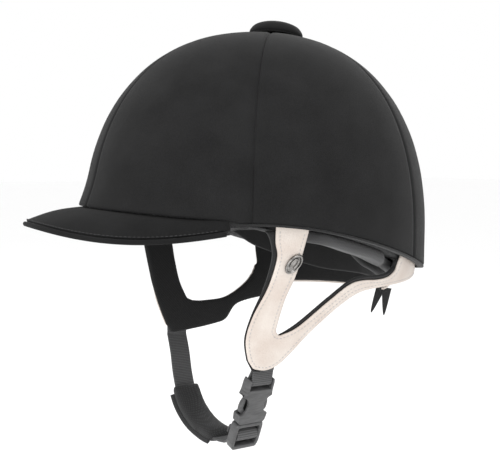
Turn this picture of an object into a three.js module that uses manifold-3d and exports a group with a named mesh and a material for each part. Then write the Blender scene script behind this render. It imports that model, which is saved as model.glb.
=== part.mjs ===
// Equestrian riding hat: velvet-covered shell with a fixed peak, harness, nape lace, chin strap and buckle.
// Millimetres, +Z up, -Y is the front, +X is the rider's left. The origin is on the mid-plane at the
// centre of the head opening, level with the side of the rim.
import * as THREE from "three";
import { mergeVertices } from "three/addons/utils/BufferGeometryUtils.js";
import Module from "manifold-3d";

const wasm = await Module();
wasm.setup();

// Crown: a superellipsoid above a short upright wall.
const HALF_WIDTH = 109;
const HALF_LENGTH = 133;
const CROWN_HEIGHT = 148.8;
const WALL_TOP = -15.7;
const CROWN_POWER = 2.3;
const BUTTON_BACK = 13;
const WALL_UNIT = 150;

// Rim: level at the front and sides, then dropping to the nape.
const RIM_FRONT = 1.5;
const RIM_DROP = 45.5;
const RIM_DROP_START = 60;
const RIM_DROP_END = 160;

// Layers, as depths inward from the velvet's outer face.
const GAP = 0.3;
const VELVET = 1.5;
const SHELL_OUT = VELVET + 1;
const SHELL_IN = 5;
const FOAM_OUT = 10.4;
const FOAM_IN = 26;
const PAD_OUT = FOAM_IN + 1.6;
const PAD_IN = 32.5;
const BINDING = 1.4;
const ROLL_OUT = 17.5;
const VELVET_HOLE = 8;

// Peak.
const PEAK_HALF_WIDTH = 91;
const PEAK_SIDE_Y = -72;
const PEAK_LENGTH = 100;
const PEAK_JOIN_ANGLE = 56;
const PEAK_EDGE_THICK = 3.6;
const COVER = 0.9;
const PIPING_RADIUS = 1.1;

// Harness, hanging from just inside the shell.
const HARNESS_HALF_WIDTH = 102.4;
const HARNESS_HALF_LENGTH = 126.5;
const TUCK = 8.5;
const LEATHER = 2;
const LINING_IN = LEATHER + GAP + 3;

// Chin strap and buckle, in the strap's own plane.
const STRAP_PIVOT = new THREE.Vector3(-57.7, -43.7, -97.5);
const SIDE_LEAN = 15;
const FRONT_LEAN = 7.5;
const STRAP_YAW = 6.5;
const WEBBING = 1.6;
const STRAP_WIDTH = 18;
// The buckle's own origin is the middle of the socket's mouth, at this place in the strap's frame.
const BUCKLE_X = 107;
const BUCKLE_Y = -14;
const SOCKET_TOP = 33.8;
const PLUG_BOTTOM = -20.5;
const LADDER_Y = -10.5;
const LOOP_BAR_Y = 31.3;
const LOOP_HIGH = 57;
const BAR_RADIUS = 1.5;
const BAR_LENGTH = 20.6;

const RING_STEPS = 36;
const CROWN_ROWS = 7;

const material = (color, roughness, metalness = 0) =>
  new THREE.MeshStandardMaterial({ color, roughness, metalness });
const velvet = material(0x161617, 0.95);
const blackFabric = material(0x1b1b1d, 0.9);
const greyFabric = material(0x4c4d4f, 0.85);
const leather = material(0xefe2d8, 0.6);
const plastic = material(0x1d1d1f, 0.4);
const greyPlastic = material(0x5c5b5a, 0.45);
const foam = material(0x2a2a2c, 0.95);
const webbing = material(0x2e2f31, 0.8);
const steel = material(0xb4afab, 0.3, 1);

const model = new THREE.Group();

function addPiece(name, geometry, look, parent = model) {
  const mesh = new THREE.Mesh(geometry, look);
  mesh.name = name;
  parent.add(mesh);
  return mesh;
}

const radians = (degrees) => (degrees * Math.PI) / 180;
const lerp = THREE.MathUtils.lerp;
const smoothstep = THREE.MathUtils.smoothstep;

// ---------------------------------------------------------------- solids from grids

// A geometry turned outward: its signed volume decides the winding.
function closedGeometry(points, triangles) {
  let volume = 0;
  for (const [a, b, c] of triangles) {
    volume += points[a].dot(points[b].clone().cross(points[c]));
  }
  const index = triangles.flatMap(([a, b, c]) => (volume > 0 ? [a, b, c] : [a, c, b]));
  const geometry = new THREE.BufferGeometry();
  const position = new Float32Array(points.flatMap((p) => [p.x, p.y, p.z]));
  geometry.setAttribute("position", new THREE.BufferAttribute(position, 3));
  geometry.setIndex(index);
  return geometry;
}

// A slab between two grids of points, closed along its borders. A ring joins its last column to its first.
function slab(outer, inner, ring = false) {
  const rows = outer.length;
  const columns = outer[0].length;
  const points = [...outer.flat(), ...inner.flat()];
  const at = (side, row, column) => side * rows * columns + row * columns + (column % columns);
  const triangles = [];
  const quad = (a, b, c, d) => triangles.push([a, b, c], [a, c, d]);
  const spans = ring ? columns : columns - 1;
  for (let column = 0; column < spans; column++) {
    const next = column + 1;
    for (let row = 0; row < rows - 1; row++) {
      quad(at(0, row, column), at(0, row, next), at(0, row + 1, next), at(0, row + 1, column));
      quad(at(1, row, column), at(1, row + 1, column), at(1, row + 1, next), at(1, row, next));
    }
    quad(at(0, 0, column), at(1, 0, column), at(1, 0, next), at(0, 0, next));
    const top = rows - 1;
    quad(at(0, top, column), at(0, top, next), at(1, top, next), at(1, top, column));
  }
  if (!ring) {
    const last = columns - 1;
    for (let row = 0; row < rows - 1; row++) {
      quad(at(0, row, 0), at(0, row + 1, 0), at(1, row + 1, 0), at(1, row, 0));
      quad(at(0, row, last), at(1, row, last), at(1, row + 1, last), at(0, row + 1, last));
    }
  }
  return closedGeometry(points, triangles);
}

function grid(rows, columns, pointAt) {
  return Array.from({ length: rows }, (_, row) =>
    Array.from({ length: columns }, (_, column) => pointAt(row, column)));
}

// ---------------------------------------------------------------- booleans

function toManifold(geometry) {
  const plain = geometry.clone();
  plain.deleteAttribute("normal");
  plain.deleteAttribute("uv");
  const merged = mergeVertices(plain, 1e-4);
  return new wasm.Manifold(new wasm.Mesh({
    numProp: 3,
    vertProperties: merged.attributes.position.array,
    triVerts: new Uint32Array(merged.index.array),
  }));
}

function toGeometry(manifold) {
  const mesh = manifold.getMesh();
  const geometry = new THREE.BufferGeometry();
  geometry.setAttribute("position", new THREE.BufferAttribute(mesh.vertProperties, 3));
  geometry.setIndex(new THREE.BufferAttribute(mesh.triVerts, 1));
  return geometry;
}

const cut = (geometry, ...tools) =>
  toGeometry(tools.reduce((body, tool) => body.subtract(toManifold(tool)), toManifold(geometry)));
const join = (geometry, ...others) =>
  toGeometry(others.reduce((body, other) => body.add(toManifold(other)), toManifold(geometry)));
const common = (geometry, other) => toGeometry(toManifold(geometry).intersect(toManifold(other)));

// A box given by its low and high corners.
function block(low, high) {
  const size = high.map((value, axis) => value - low[axis]);
  const middle = high.map((value, axis) => (value + low[axis]) / 2);
  return new THREE.BoxGeometry(...size).translate(...middle);
}

// ---------------------------------------------------------------- crown surface

// Height of the rim at a ring angle in degrees from the front.
function rimHeight(angle) {
  const turn = Math.abs(((angle + 180) % 360) - 180);
  return RIM_FRONT - RIM_DROP * smoothstep(turn, RIM_DROP_START, RIM_DROP_END);
}

// A point of the crown's surface, moved inward by depth. Rise is below 0 on the upright wall, 0 where
// the wall ends and 1 at the button.
function crownPoint(angle, rise, depth) {
  const width = HALF_WIDTH - depth;
  const length = HALF_LENGTH - depth;
  const height = CROWN_HEIGHT - depth;
  const along = radians(angle);
  const reach = rise > 0 ? Math.cos((rise * Math.PI) / 2) ** (2 / CROWN_POWER) : 1;
  const x = width * reach * Math.sin(along);
  const y = -length * reach * Math.cos(along) + BUTTON_BACK * (1 - reach);
  if (rise <= 0) {
    return new THREE.Vector3(x, y, WALL_TOP + rise * WALL_UNIT);
  }
  const distance = Math.min(1, Math.hypot(x / width, y / length));
  const z = WALL_TOP + height * (1 - distance ** CROWN_POWER) ** (1 / CROWN_POWER);
  return new THREE.Vector3(x, y, z);
}

// The rise at which the surface is at a height, on the lower part of the crown.
function riseAt(angle, z, depth) {
  if (z <= WALL_TOP) {
    return (z - WALL_TOP) / WALL_UNIT;
  }
  let low = 0;
  let high = 0.9;
  for (let step = 0; step < 40; step++) {
    const middle = (low + high) / 2;
    if (crownPoint(angle, middle, depth).z < z) {
      low = middle;
    } else {
      high = middle;
    }
  }
  return low;
}

// The rise at which the surface is a given radius away from the button's axis.
function riseNearButton(radius, depth) {
  const reach = radius / (HALF_WIDTH - depth);
  return (2 / Math.PI) * Math.acos(reach ** (CROWN_POWER / 2));
}

function crownGrid(angles, rows, depth, bottomAt, topRise) {
  return grid(rows + 1, angles.length, (row, column) => {
    const angle = angles[column];
    const start = riseAt(angle, bottomAt(angle), depth);
    return crownPoint(angle, lerp(start, topRise, row / rows), depth);
  });
}

const ringAngles = Array.from({ length: RING_STEPS }, (_, step) => (step * 360) / RING_STEPS);

// A whole layer of the crown, with a round hole of a given radius at the button. The rows run up to the
// velvet's own top, so that the layers' facets lie one above the other, and then to the hole.
function crownLayer(outDepth, inDepth, bottomAt, holeRadius) {
  const face = (depth) => {
    const rows = crownGrid(ringAngles, CROWN_ROWS, depth, bottomAt, riseNearButton(VELVET_HOLE, depth));
    if (holeRadius < VELVET_HOLE) {
      const rise = riseNearButton(holeRadius, depth);
      rows.push(ringAngles.map((angle) => crownPoint(angle, rise, depth)));
    }
    return rows;
  };
  return slab(face(outDepth), face(inDepth), true);
}

// A band with a rectangular section that follows the rim.
function rimBand(outDepth, inDepth, lowOffset, highOffset) {
  const face = (depthOf) => grid(2, RING_STEPS, (row, column) => {
    const angle = ringAngles[column];
    const depth = typeof depthOf === "function" ? depthOf(angle) : depthOf;
    const z = rimHeight(angle) + (row ? highOffset : lowOffset);
    return crownPoint(angle, riseAt(angle, z, depth), depth);
  });
  return slab(face(outDepth), face(inDepth), true);
}

// The outward direction of the rim's outline at a ring angle.
function rimNormal(angle) {
  const along = radians(angle);
  return new THREE.Vector3(Math.sin(along) / HALF_WIDTH, -Math.cos(along) / HALF_LENGTH, 0).normalize();
}

// ---------------------------------------------------------------- peak surface

const peakJoinHeight = (turn) => 4.2 + 5.6 * Math.cos(radians(turn));
const peakEdgeHeight = (turn) => -0.6 - 6.4 * Math.sin(radians(1.636 * Math.abs(turn))) ** 2;

// A point over the peak. Turn runs from -90 on the rider's right to 90 on the left, and out from 0 at
// the shell to 1 at the edge. Level is 1 on the top face and 0 on the underside.
function peakPoint(turn, out, level, inset) {
  const along = radians(turn);
  const angle = (turn / 90) * PEAK_JOIN_ANGLE;
  const rootTop = crownPoint(angle, riseAt(angle, peakJoinHeight(turn), -GAP), -GAP);
  const rootLow = crownPoint(angle, riseAt(angle, RIM_FRONT, -GAP), -GAP);
  const x = (PEAK_HALF_WIDTH - inset) * Math.sin(along);
  const y = PEAK_SIDE_Y - (PEAK_LENGTH - inset) * Math.cos(along);
  const edgeLow = new THREE.Vector3(x, y, peakEdgeHeight(turn));
  const edgeTop = edgeLow.clone().setZ(edgeLow.z + PEAK_EDGE_THICK);
  const crown = 2.2 * Math.sin(Math.PI * out) * Math.cos(along);
  const top = rootTop.lerp(edgeTop, out);
  const low = rootLow.lerp(edgeLow, out);
  top.z += crown;
  low.z += crown;
  return low.lerp(top, level);
}

const PEAK_TURNS = Array.from({ length: 17 }, (_, step) => -86 + (step * 172) / 16);
const PEAK_ROWS = 4;

// A layer of the peak between two faces, each given as an offset in Z from the top or the underside.
function peakLayer(highLevel, highOffset, lowLevel, lowOffset, inset) {
  const face = (level, offset) => grid(PEAK_ROWS, PEAK_TURNS.length, (row, column) => {
    const point = peakPoint(PEAK_TURNS[column], row / (PEAK_ROWS - 1), level, inset);
    point.z += offset;
    return point;
  });
  return slab(face(highLevel, highOffset), face(lowLevel, lowOffset));
}

// ---------------------------------------------------------------- harness surface

// A point on the harness, which starts inside the shell and narrows below the rim to the jaw.
function harnessPoint(angle, z, inset) {
  const along = radians(angle);
  const below = Math.max(0, rimHeight(angle) - z);
  const share = Math.min(1, below / 45);
  const halfWidth = HARNESS_HALF_WIDTH - 0.56 * below + 0.0016 * below ** 2 - inset;
  const middle = 40 * share;
  const ahead = HARNESS_HALF_LENGTH + 28.8 * share - inset;
  const behind = HARNESS_HALF_LENGTH - 0.3 * below - middle - inset;
  const forward = Math.cos(along) > 0;
  const power = forward ? 2 / (2 + share) : 1;
  const x = halfWidth * Math.abs(Math.sin(along)) ** power * Math.sign(Math.sin(along));
  const y = middle - (forward ? ahead : behind) * Math.abs(Math.cos(along)) ** power * Math.sign(Math.cos(along));
  return new THREE.Vector3(x, y, z);
}

// A frame on the harness surface, with X round it, Y up it and Z out of it.
function harnessFrame(angle, z) {
  const base = harnessPoint(angle, z, 0);
  const across = harnessPoint(angle + 1, z, 0).sub(base).normalize();
  const rise = harnessPoint(angle, z + 1, 0).sub(base).normalize();
  const out = across.clone().cross(rise).normalize();
  return new THREE.Matrix4().makeBasis(across, out.clone().cross(across), out).setPosition(base);
}

// Side wall of the harness between two insets, on the rider's left or right (side 1 or -1).
function harnessWall(side, outInset, inInset) {
  const columns = 13;
  const rows = 12;
  const face = (inset) => grid(rows, columns, (row, column) => {
    const angle = 42 + (column * 83) / (columns - 1);
    const z = rimHeight(angle) + TUCK - (row * 118) / (rows - 1);
    const point = harnessPoint(angle, z, inset);
    point.x *= side;
    return point;
  });
  return slab(face(outInset), face(inInset));
}

// The yoke's outline seen from the side, as [y, z], from edges that are smooth curves.
function yokeOutline(front, bottom, upper, inner) {
  const points = [];
  for (const [edge, steps] of [[front, 12], [bottom, 14], [upper, 9], [inner, 9]]) {
    const curve = new THREE.SplineCurve(edge.map(([y, z]) => new THREE.Vector2(y, z)));
    points.push(...curve.getPoints(steps));
  }
  return points.filter((point, i) => i === 0 || point.distanceTo(points[i - 1]) > 0.05);
}

function yokePiece(side, outline, outInset, inInset) {
  const shape = new THREE.Shape(outline);
  const prism = new THREE.ExtrudeGeometry(shape, { depth: 100, bevelEnabled: false });
  // The outline's first axis goes to Y, its second to Z and the extrusion to X.
  prism.applyMatrix4(new THREE.Matrix4().makeBasis(
    new THREE.Vector3(0, 1, 0), new THREE.Vector3(0, 0, 1), new THREE.Vector3(1, 0, 0)));
  prism.translate(20, 0, 0);
  const wall = harnessWall(1, outInset, inInset);
  const piece = common(prism, wall);
  return side === 1 ? piece : mirrored(piece);
}

// A copy on the rider's other side, still facing outward.
function mirrored(geometry) {
  const copy = geometry.clone().scale(-1, 1, 1);
  const index = Array.from(copy.index.array);
  for (let i = 0; i < index.length; i += 3) {
    [index[i + 1], index[i + 2]] = [index[i + 2], index[i + 1]];
  }
  copy.setIndex(index);
  return copy;
}

// ---------------------------------------------------------------- crown pieces

const edgeAbove = (offset) => (angle) => rimHeight(angle) + offset;

// The velvet stops at the peak's join line across the front.
function velvetBottom(angle) {
  const turn = ((angle + 180) % 360) - 180;
  const aboveBinding = rimHeight(angle) + BINDING + GAP;
  if (Math.abs(turn) >= PEAK_JOIN_ANGLE) {
    return aboveBinding;
  }
  return Math.max(aboveBinding, peakJoinHeight((turn / PEAK_JOIN_ANGLE) * 90) + GAP);
}

const SHELL_RIVET_RADIUS = 1.6;
const RIVET_HEIGHT = 6;
const rivetPlaces = {
  front_left: 72,
  front_right: -67,
  side_left: 122,
  side_right: -122,
  rear_left: 168,
  rear_right: -168,
};

// A round peg across the layers at the rim, from one depth to another.
function rimPeg(angle, radius, fromDepth, toDepth, sides = 8) {
  const normal = rimNormal(angle);
  const z = rimHeight(angle) + RIVET_HEIGHT;
  const skin = crownPoint(angle, riseAt(angle, z, 0), 0);
  const peg = new THREE.CylinderGeometry(radius, radius, toDepth - fromDepth, sides);
  peg.applyQuaternion(new THREE.Quaternion().setFromUnitVectors(new THREE.Vector3(0, 1, 0), normal));
  const middle = skin.addScaledVector(normal, -(fromDepth + toDepth) / 2);
  return peg.translate(middle.x, middle.y, middle.z);
}

const rivetHole = (angle) => rimPeg(angle, SHELL_RIVET_RADIUS + GAP, -2, FOAM_OUT - 1);

function buildGores() {
  const names = ["front_left", "side_left", "rear_left", "rear_right", "side_right", "front_right"];
  const span = 360 / names.length;
  const columns = 7;
  names.forEach((name, gore) => {
    const face = (depth) => grid(CROWN_ROWS + 1, columns, (row, column) => {
      const angle = (gore + column / (columns - 1)) * span;
      const bottom = riseAt(angle, velvetBottom(angle), depth);
      const rise = lerp(bottom, riseNearButton(VELVET_HOLE, depth), row / CROWN_ROWS);
      const point = crownPoint(angle, rise, depth);
      const nudge = column === 0 ? GAP : column === columns - 1 ? -GAP : 0;
      const ahead = crownPoint(angle + 1, rise, depth).sub(point).normalize();
      return point.addScaledVector(ahead, nudge / 2);
    });
    addPiece(`velvet_gore_${name}`, slab(face(0), face(VELVET)), velvet);
  });
}

// The roll reaches out to the liner's edge between the arms, and steps in where the harness passes it.
const ROLL_FREE = [[-92, -88], [-50, 50], [88, 102]];
const ROLL_OUT_FREE = 11;

function rollDepth(angle) {
  const turn = ((angle + 180) % 360) - 180;
  return ROLL_FREE.some(([from, to]) => turn >= from && turn <= to) ? ROLL_OUT_FREE : ROLL_OUT;
}

function buildShellAndLiner() {
  const shellEdge = edgeAbove(BINDING + GAP);
  const shell = crownLayer(SHELL_OUT, SHELL_IN, shellEdge, 2.4);
  const holes = Object.values(rivetPlaces).map(rivetHole);
  addPiece("hard_shell", cut(shell, ...holes), plastic);
  addPiece("rim_binding", rimBand(0.2, SHELL_IN, 0, BINDING), blackFabric);
  addPiece("impact_liner", crownLayer(FOAM_OUT, FOAM_IN, edgeAbove(0), VELVET_HOLE), foam);
  addPiece("rim_roll", rimBand(rollDepth, FOAM_IN, -7.5, -GAP), greyFabric);
  addPiece("headband", rimBand(PAD_OUT, PAD_IN, -4, 30), blackFabric);
  const padAngles = ringAngles.filter((_, step) => step % 2 === 0);
  const pad = [PAD_OUT, PAD_IN].map((depth) =>
    crownGrid(padAngles, 4, depth, () => 75, riseNearButton(6, depth)));
  addPiece("crown_pad", slab(...pad, true), blackFabric);
}

const BUTTON_SINK = 0.6;
const BUTTON_TILT = 7;

function buildButton() {
  const place = crownPoint(0, 1, 0);
  const button = new THREE.Group();
  button.position.copy(place);
  button.position.z -= BUTTON_SINK;
  button.rotation.x = radians(-BUTTON_TILT);
  model.add(button);
  const lathe = (profile, steps = 18) =>
    new THREE.LatheGeometry(profile.map(([r, z]) => new THREE.Vector2(r, z)), steps).rotateX(Math.PI / 2);
  // Profiles run from the axis round to the axis; height is along the button's own axis.
  const cover = [
    [19, 0.9], [20.2, 2.4], [19.6, 5], [16.8, 8], [11.5, 10.2], [5.5, 11.1], [0, 11.3],
  ];
  const hollow = [[0, 9.8], [5.3, 9.6], [11, 8.8], [15.8, 6.8], [18, 4.6], [18.4, 2.6], [17.6, 0.9]];
  addPiece("button_cover", lathe([...hollow, ...cover]), velvet, button);
  const core = [[0, 6.5], [2.4, 6.5], [2.4, 1.2], [17.2, 1.2], [17.9, 2.7], [17.6, 4.5], [15.5, 6.5],
    [10.8, 8.5], [5.2, 9.3], [0, 9.5]];
  addPiece("button_core", lathe(core), plastic, button);
  const headDepth = -SHELL_IN - 2;
  const rivet = [[0, headDepth - 1.6], [3.2, headDepth - 1.3], [3.4, headDepth], [1.9, headDepth],
    [1.9, 6.2], [0, 6.2]];
  addPiece("button_rivet", lathe(rivet, 12), steel, button);
  const washer = [[2.3, headDepth + GAP], [6, headDepth + GAP], [6, -SHELL_IN - 1], [2.3, -SHELL_IN - 1],
    [2.3, headDepth + GAP]];
  addPiece("button_washer", lathe(washer, 12), steel, button);
}

function buildPeak() {
  addPiece("peak_top_velvet", peakLayer(1, 0, 1, -COVER, 1), velvet);
  addPiece("peak_core", peakLayer(1, -COVER - GAP, 0, COVER + GAP, 1), plastic);
  addPiece("peak_under_lining", peakLayer(0, COVER, 0, 0, 1), blackFabric);
  const route = Array.from({ length: 15 }, (_, step) => {
    const turn = -82 + (step * 164) / 14;
    return peakPoint(turn, 1, 0.3, -PIPING_RADIUS - GAP + 1);
  });
  const section = new THREE.Shape().absarc(0, 0, PIPING_RADIUS, 0, 2 * Math.PI);
  addPiece("peak_piping", new THREE.ExtrudeGeometry(section, {
    steps: 24,
    curveSegments: 3,
    bevelEnabled: false,
    extrudePath: new THREE.CatmullRomCurve3(route),
  }), velvet);
}

// A flat ribbon bow on the back of the crown: two loops that narrow to a wrapped middle.
function buildRearBow() {
  const middle = -19.5;
  const reach = 20;
  const columns = 11;
  const face = (depth) => grid(2, columns, (row, column) => {
    const share = column / (columns - 1) * 2 - 1;
    const half = 10 + 7 * smoothstep(Math.abs(share), 0.1, 0.9);
    const z = middle + (row ? half : -half);
    const angle = 180 + share * reach;
    return crownPoint(angle, riseAt(angle, z, depth), depth);
  });
  const knotOut = 5;
  const ribbonOut = 2.6;
  const ribbon = slab(face(-ribbonOut), face(-GAP));
  const back = HALF_LENGTH;
  const wrap = block([-6, back - 1, middle - 11.5], [6, back + knotOut, middle + 11.5]);
  const passage = block([-7, back - 2, middle - 10.6], [7, back + ribbonOut + GAP, middle + 10.6]);
  const clearOfVelvet = block([-7, back - 2, middle - 13], [7, back + GAP, middle + 13]);
  addPiece("rear_bow_ribbon", ribbon, velvet);
  addPiece("rear_bow_knot", cut(wrap, passage, clearOfVelvet), velvet);
}

// ---------------------------------------------------------------- harness pieces

// Edges of the pale leather yoke. The rear arm hangs lower on the rider's right, as soft leather does.
const ARM_END = { left: 56, right: 46 };
const YOKES = {
  left: {
    front: [[-49, 14], [-45.2, -10], [-42.8, -20], [-44.4, -39.5], [-50.6, -60], [-52.4, -76], [-48.6, -91]],
    bottom: [[-44, -95.6], [-33.6, -97.6], [-21.8, -92.6], [-4, -74.7], [15.6, -57], [31, -48.6], [ARM_END.left, -46.2]],
    upper: [[ARM_END.left, -35.6], [50, -39.4], [40, -40.7], [29, -40.3], [18.2, -42.2], [4.8, -52.9], [-15.7, -70.5],
      [-29, -75.2]],
    back: [[-32, -71.4], [-30.4, -50], [-27.4, -33], [-27.6, -14], [-30.5, 14]],
  },
  right: {
    front: [[-62.5, 14], [-61.8, -10], [-61.4, -26], [-61.2, -46], [-60.4, -67], [-57.6, -79], [-54, -90]],
    bottom: [[-50, -94.2], [-33, -95.5], [-7, -95], [4, -92.6], [15, -83], [28, -79.8], [ARM_END.right, -78.4]],
    upper: [[ARM_END.right, -52], [32, -65], [8, -75.4], [-16, -76.2], [-28, -74]],
    back: [[-31.5, -70.6], [-36, -58], [-37.2, -42], [-36.4, -27], [-36, -10], [-36.5, 14]],
  },
};

// The lining shows as a dark edge above the rear arm and in front of the front arm, less towards its foot.
const LINING_SHOW = 3.2;
const LINING_SHOW_FOOT = 1.3;
const LINING_TOP = -2;
const liningShow = (z) => lerp(LINING_SHOW_FOOT, LINING_SHOW, smoothstep(z, -65, -30));

function liningOutline(yoke) {
  const front = yoke.front.map(([y, z], i) => [y - liningShow(z), i === 0 ? LINING_TOP : z]);
  const upper = yoke.upper.map(([y, z], i) => [y, z + (i === yoke.upper.length - 1 ? 0 : LINING_SHOW)]);
  const back = yoke.back.map(([y, z], i) => [y, i === yoke.back.length - 1 ? LINING_TOP : z]);
  return yokeOutline(front, yoke.bottom, upper, back);
}

// Webbing tab sewn into the foot of the right yoke.
const TAB_LOW = -96.2;
const TAB_HIGH = -82;

function tabSolid(grow) {
  const low = STRAP_PIVOT.y - STRAP_WIDTH / 2 - grow;
  const high = STRAP_PIVOT.y + STRAP_WIDTH / 2 + grow;
  const outline = [[low, TAB_LOW - grow], [high, TAB_LOW - grow], [high, TAB_HIGH + grow], [low, TAB_HIGH + grow]]
    .map(([y, z]) => new THREE.Vector2(y, z));
  return yokePiece(-1, outline, LEATHER + GAP - (grow ? 1 : 0), LEATHER + GAP + WEBBING + (grow ? 4 : 0));
}

// The two halves of the nape drape, laced together at the back.
const DRAPES = {
  left: { start: -41, rise: [110.3, 121.6], low: -46.2, drop: [158, 178] },
  right: { start: -52, rise: [103, 121], low: -78.4, drop: [104, 120] },
};
const DRAPE_FIRST = 98;
const DRAPE_LAST = 178;
const DRAPE_LOW_BACK = -69;
const NAPE_LINING_OUT = LEATHER + 1.3;
const EYELET_ANGLE = 174.5;
const EYELET_HEIGHTS = [-51, -60];
const EYELET_HOLE = 1.7;

const drapeLow = (angle, drape) => lerp(drape.low, DRAPE_LOW_BACK, smoothstep(angle, ...drape.drop));
const drapeTop = (angle, drape) =>
  lerp(drape.start, rimHeight(angle) + TUCK, smoothstep(angle, ...drape.rise));

// A round tool through the nape, from one height above its outer face to another.
function eyeletTool(z, radius, from, to, sides = 8) {
  const tool = new THREE.CylinderGeometry(radius, radius, to - from, sides).rotateX(Math.PI / 2);
  return tool.translate(0, 0, (from + to) / 2).applyMatrix4(harnessFrame(EYELET_ANGLE, z));
}

function buildHarness() {
  for (const [name, side] of [["left", 1], ["right", -1]]) {
    const yoke = YOKES[name];
    const outline = yokeOutline(yoke.front, yoke.bottom, yoke.upper, yoke.back);
    const sheet = yokePiece(side, outline, 0, LEATHER);
    const rivet = rivetHole(rivetPlaces[`front_${name}`]);
    addPiece(`yoke_leather_${name}`, cut(sheet, rivet, badgeHole(name)), leather);
    const lining = yokePiece(side, liningOutline(yoke), LEATHER + GAP, LINING_IN);
    const notch = side === 1 ? loopNotch() : tabSolid(GAP);
    addPiece(`yoke_lining_${name}`, cut(lining, notch, badgeHole(name)), blackFabric);
    buildDrape(name, side);
    buildBadge(name, side);
  }
  addPiece("strap_tab_right", tabSolid(0), webbing);
}

function buildDrape(name, side) {
  const drape = DRAPES[name];
  const columns = 15;
  const face = (inset, heightsAt) => {
    const angles = Array.from({ length: columns }, (_, i) => lerp(DRAPE_FIRST, DRAPE_LAST, i / (columns - 1)));
    const heights = angles.map(heightsAt);
    return grid(heights[0].length, columns, (row, column) =>
      harnessPoint(angles[column], heights[column][row], inset));
  };
  // The leather bends at the rim, where it goes up inside the shell; the lining stops below it.
  const leatherHeights = (angle) => {
    const low = drapeLow(angle, drape);
    const top = drapeTop(angle, drape);
    const knee = Math.min(rimHeight(angle), top - 1.5);
    return [low, (low + knee) / 2, knee, top];
  };
  const liningHeights = (angle) => {
    const low = drapeLow(angle, drape);
    const top = Math.min(drapeTop(angle, drape), rimHeight(angle) - 2);
    return [low, (low + top) / 2, top];
  };
  const behindArm = block([0, ARM_END[name] + GAP, -120], [130, 150, 20]);
  const holes = EYELET_HEIGHTS.map((z) => eyeletTool(z, EYELET_HOLE + 1, -12, 4));
  const rivets = [`side_left`, `rear_left`].map((place) => rivetHole(rivetPlaces[place]));
  const outer = slab(face(0, leatherHeights), face(LEATHER, leatherHeights));
  const inner = slab(face(NAPE_LINING_OUT, liningHeights), face(LINING_IN, liningHeights));
  const onSide = (geometry) => (side === 1 ? geometry : mirrored(geometry));
  addPiece(`nape_leather_${name}`, onSide(cut(common(outer, behindArm), ...rivets, ...holes)), leather);
  addPiece(`nape_lining_${name}`, onSide(cut(common(inner, behindArm), ...holes)), blackFabric);
  EYELET_HEIGHTS.forEach((z, i) => {
    const barrel = eyeletTool(z, EYELET_HOLE + 0.7, -LINING_IN - 0.3, 0.7);
    const flange = eyeletTool(z, EYELET_HOLE + 2, 0.4, 1);
    const ring = cut(join(barrel, flange), eyeletTool(z, EYELET_HOLE, -12, 4));
    addPiece(`nape_eyelet_${name}_${i + 1}`, onSide(ring), steel);
  });
}

// Domed oval stud on the front arm, with a shank through leather and lining.
const BADGE_ANGLES = { left: 73.2, right: 65.5 };
const BADGE_Z = -23.5;
const BADGE_NARROW = 0.62;
const BADGE_LEAN = 35;
const badgeFrame = (name) => harnessFrame(BADGE_ANGLES[name], BADGE_Z);

function badgeHole(name) {
  const hole = new THREE.CylinderGeometry(1.5, 1.5, 30, 8).rotateX(Math.PI / 2).applyMatrix4(badgeFrame(name));
  return name === "left" ? hole : mirrored(hole);
}

function buildBadge(name, side) {
  const profile = [[0, -6.5], [1.2, -6.5], [1.2, 0.6], [7.2, 0.6], [7.6, 1.3], [7.2, 2.1], [6.1, 2.2],
    [5.4, 1.6], [3, 2.6], [0, 2.9]];
  const stud = new THREE.LatheGeometry(profile.map(([r, z]) => new THREE.Vector2(r, z)), 16);
  // The head is a narrow oval whose top leans to the rear.
  stud.rotateX(Math.PI / 2).scale(BADGE_NARROW, 1, 1).rotateZ(radians(-BADGE_LEAN)).applyMatrix4(badgeFrame(name));
  const merged = toGeometry(toManifold(stud));
  addPiece(`badge_${name}`, side === 1 ? merged : mirrored(merged), steel);
}

function buildRivets() {
  for (const [place, angle] of Object.entries(rivetPlaces)) {
    const shank = rimPeg(angle, SHELL_RIVET_RADIUS, SHELL_OUT + 0.3, FOAM_OUT - 0.7);
    const head = rimPeg(angle, 3.4, FOAM_OUT - 1.4, FOAM_OUT - 0.4, 10);
    addPiece(`rivet_${place}`, join(shank, head), steel);
  }
}

// Lace across the eyelets, its knot below them and two flat tails with pointed ends.
function buildLace() {
  const half = harnessPoint(EYELET_ANGLE, EYELET_HEIGHTS[0], 0).x;
  const back = (z) => harnessPoint(180, z, 0).y;
  const laceWidth = 2.2;
  const run = EYELET_HEIGHTS.map((z) =>
    block([-half, back(z) + 1.6, z - laceWidth / 2], [half, back(z) + 2.8, z + laceWidth / 2]));
  const [upper, lower] = EYELET_HEIGHTS;
  const riser = block([-1.1, back(upper) - 1.2, lower - 0.5], [1.1, back(upper) + 2.8, upper + 0.5]);
  const link = block([-1.1, back(lower) + 0.9, -66.8], [1.1, back(lower) + 2.8, lower]);
  addPiece("nape_lace", join(run[0], run[1], riser, link), blackFabric);
  const knotLow = -72;
  const knot = new THREE.SphereGeometry(1, 12, 8).scale(5.5, 3, 2.4);
  addPiece("lace_knot", toGeometry(toManifold(knot)).translate(0, back(lower) + 2, knotLow + 2.4), blackFabric);
  for (const [name, side] of [["left", 1], ["right", -1]]) {
    const tail = new THREE.Shape([
      [0.5, -0.2], [5.2, 0], [9.5, -18], [5.4, -20.5], [3.6, -17.5],
    ].map(([x, y]) => new THREE.Vector2(x, y)));
    const ribbon = new THREE.ExtrudeGeometry(tail, { depth: 1, bevelEnabled: false });
    ribbon.rotateX(Math.PI / 2 - 0.12).translate(0, back(lower) + 2.4, knotLow - GAP - 0.3);
    addPiece(`lace_tail_${name}`, side === 1 ? ribbon : mirrored(toGeometry(toManifold(ribbon))), blackFabric);
  }
}

// ---------------------------------------------------------------- chin strap and buckle

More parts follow.
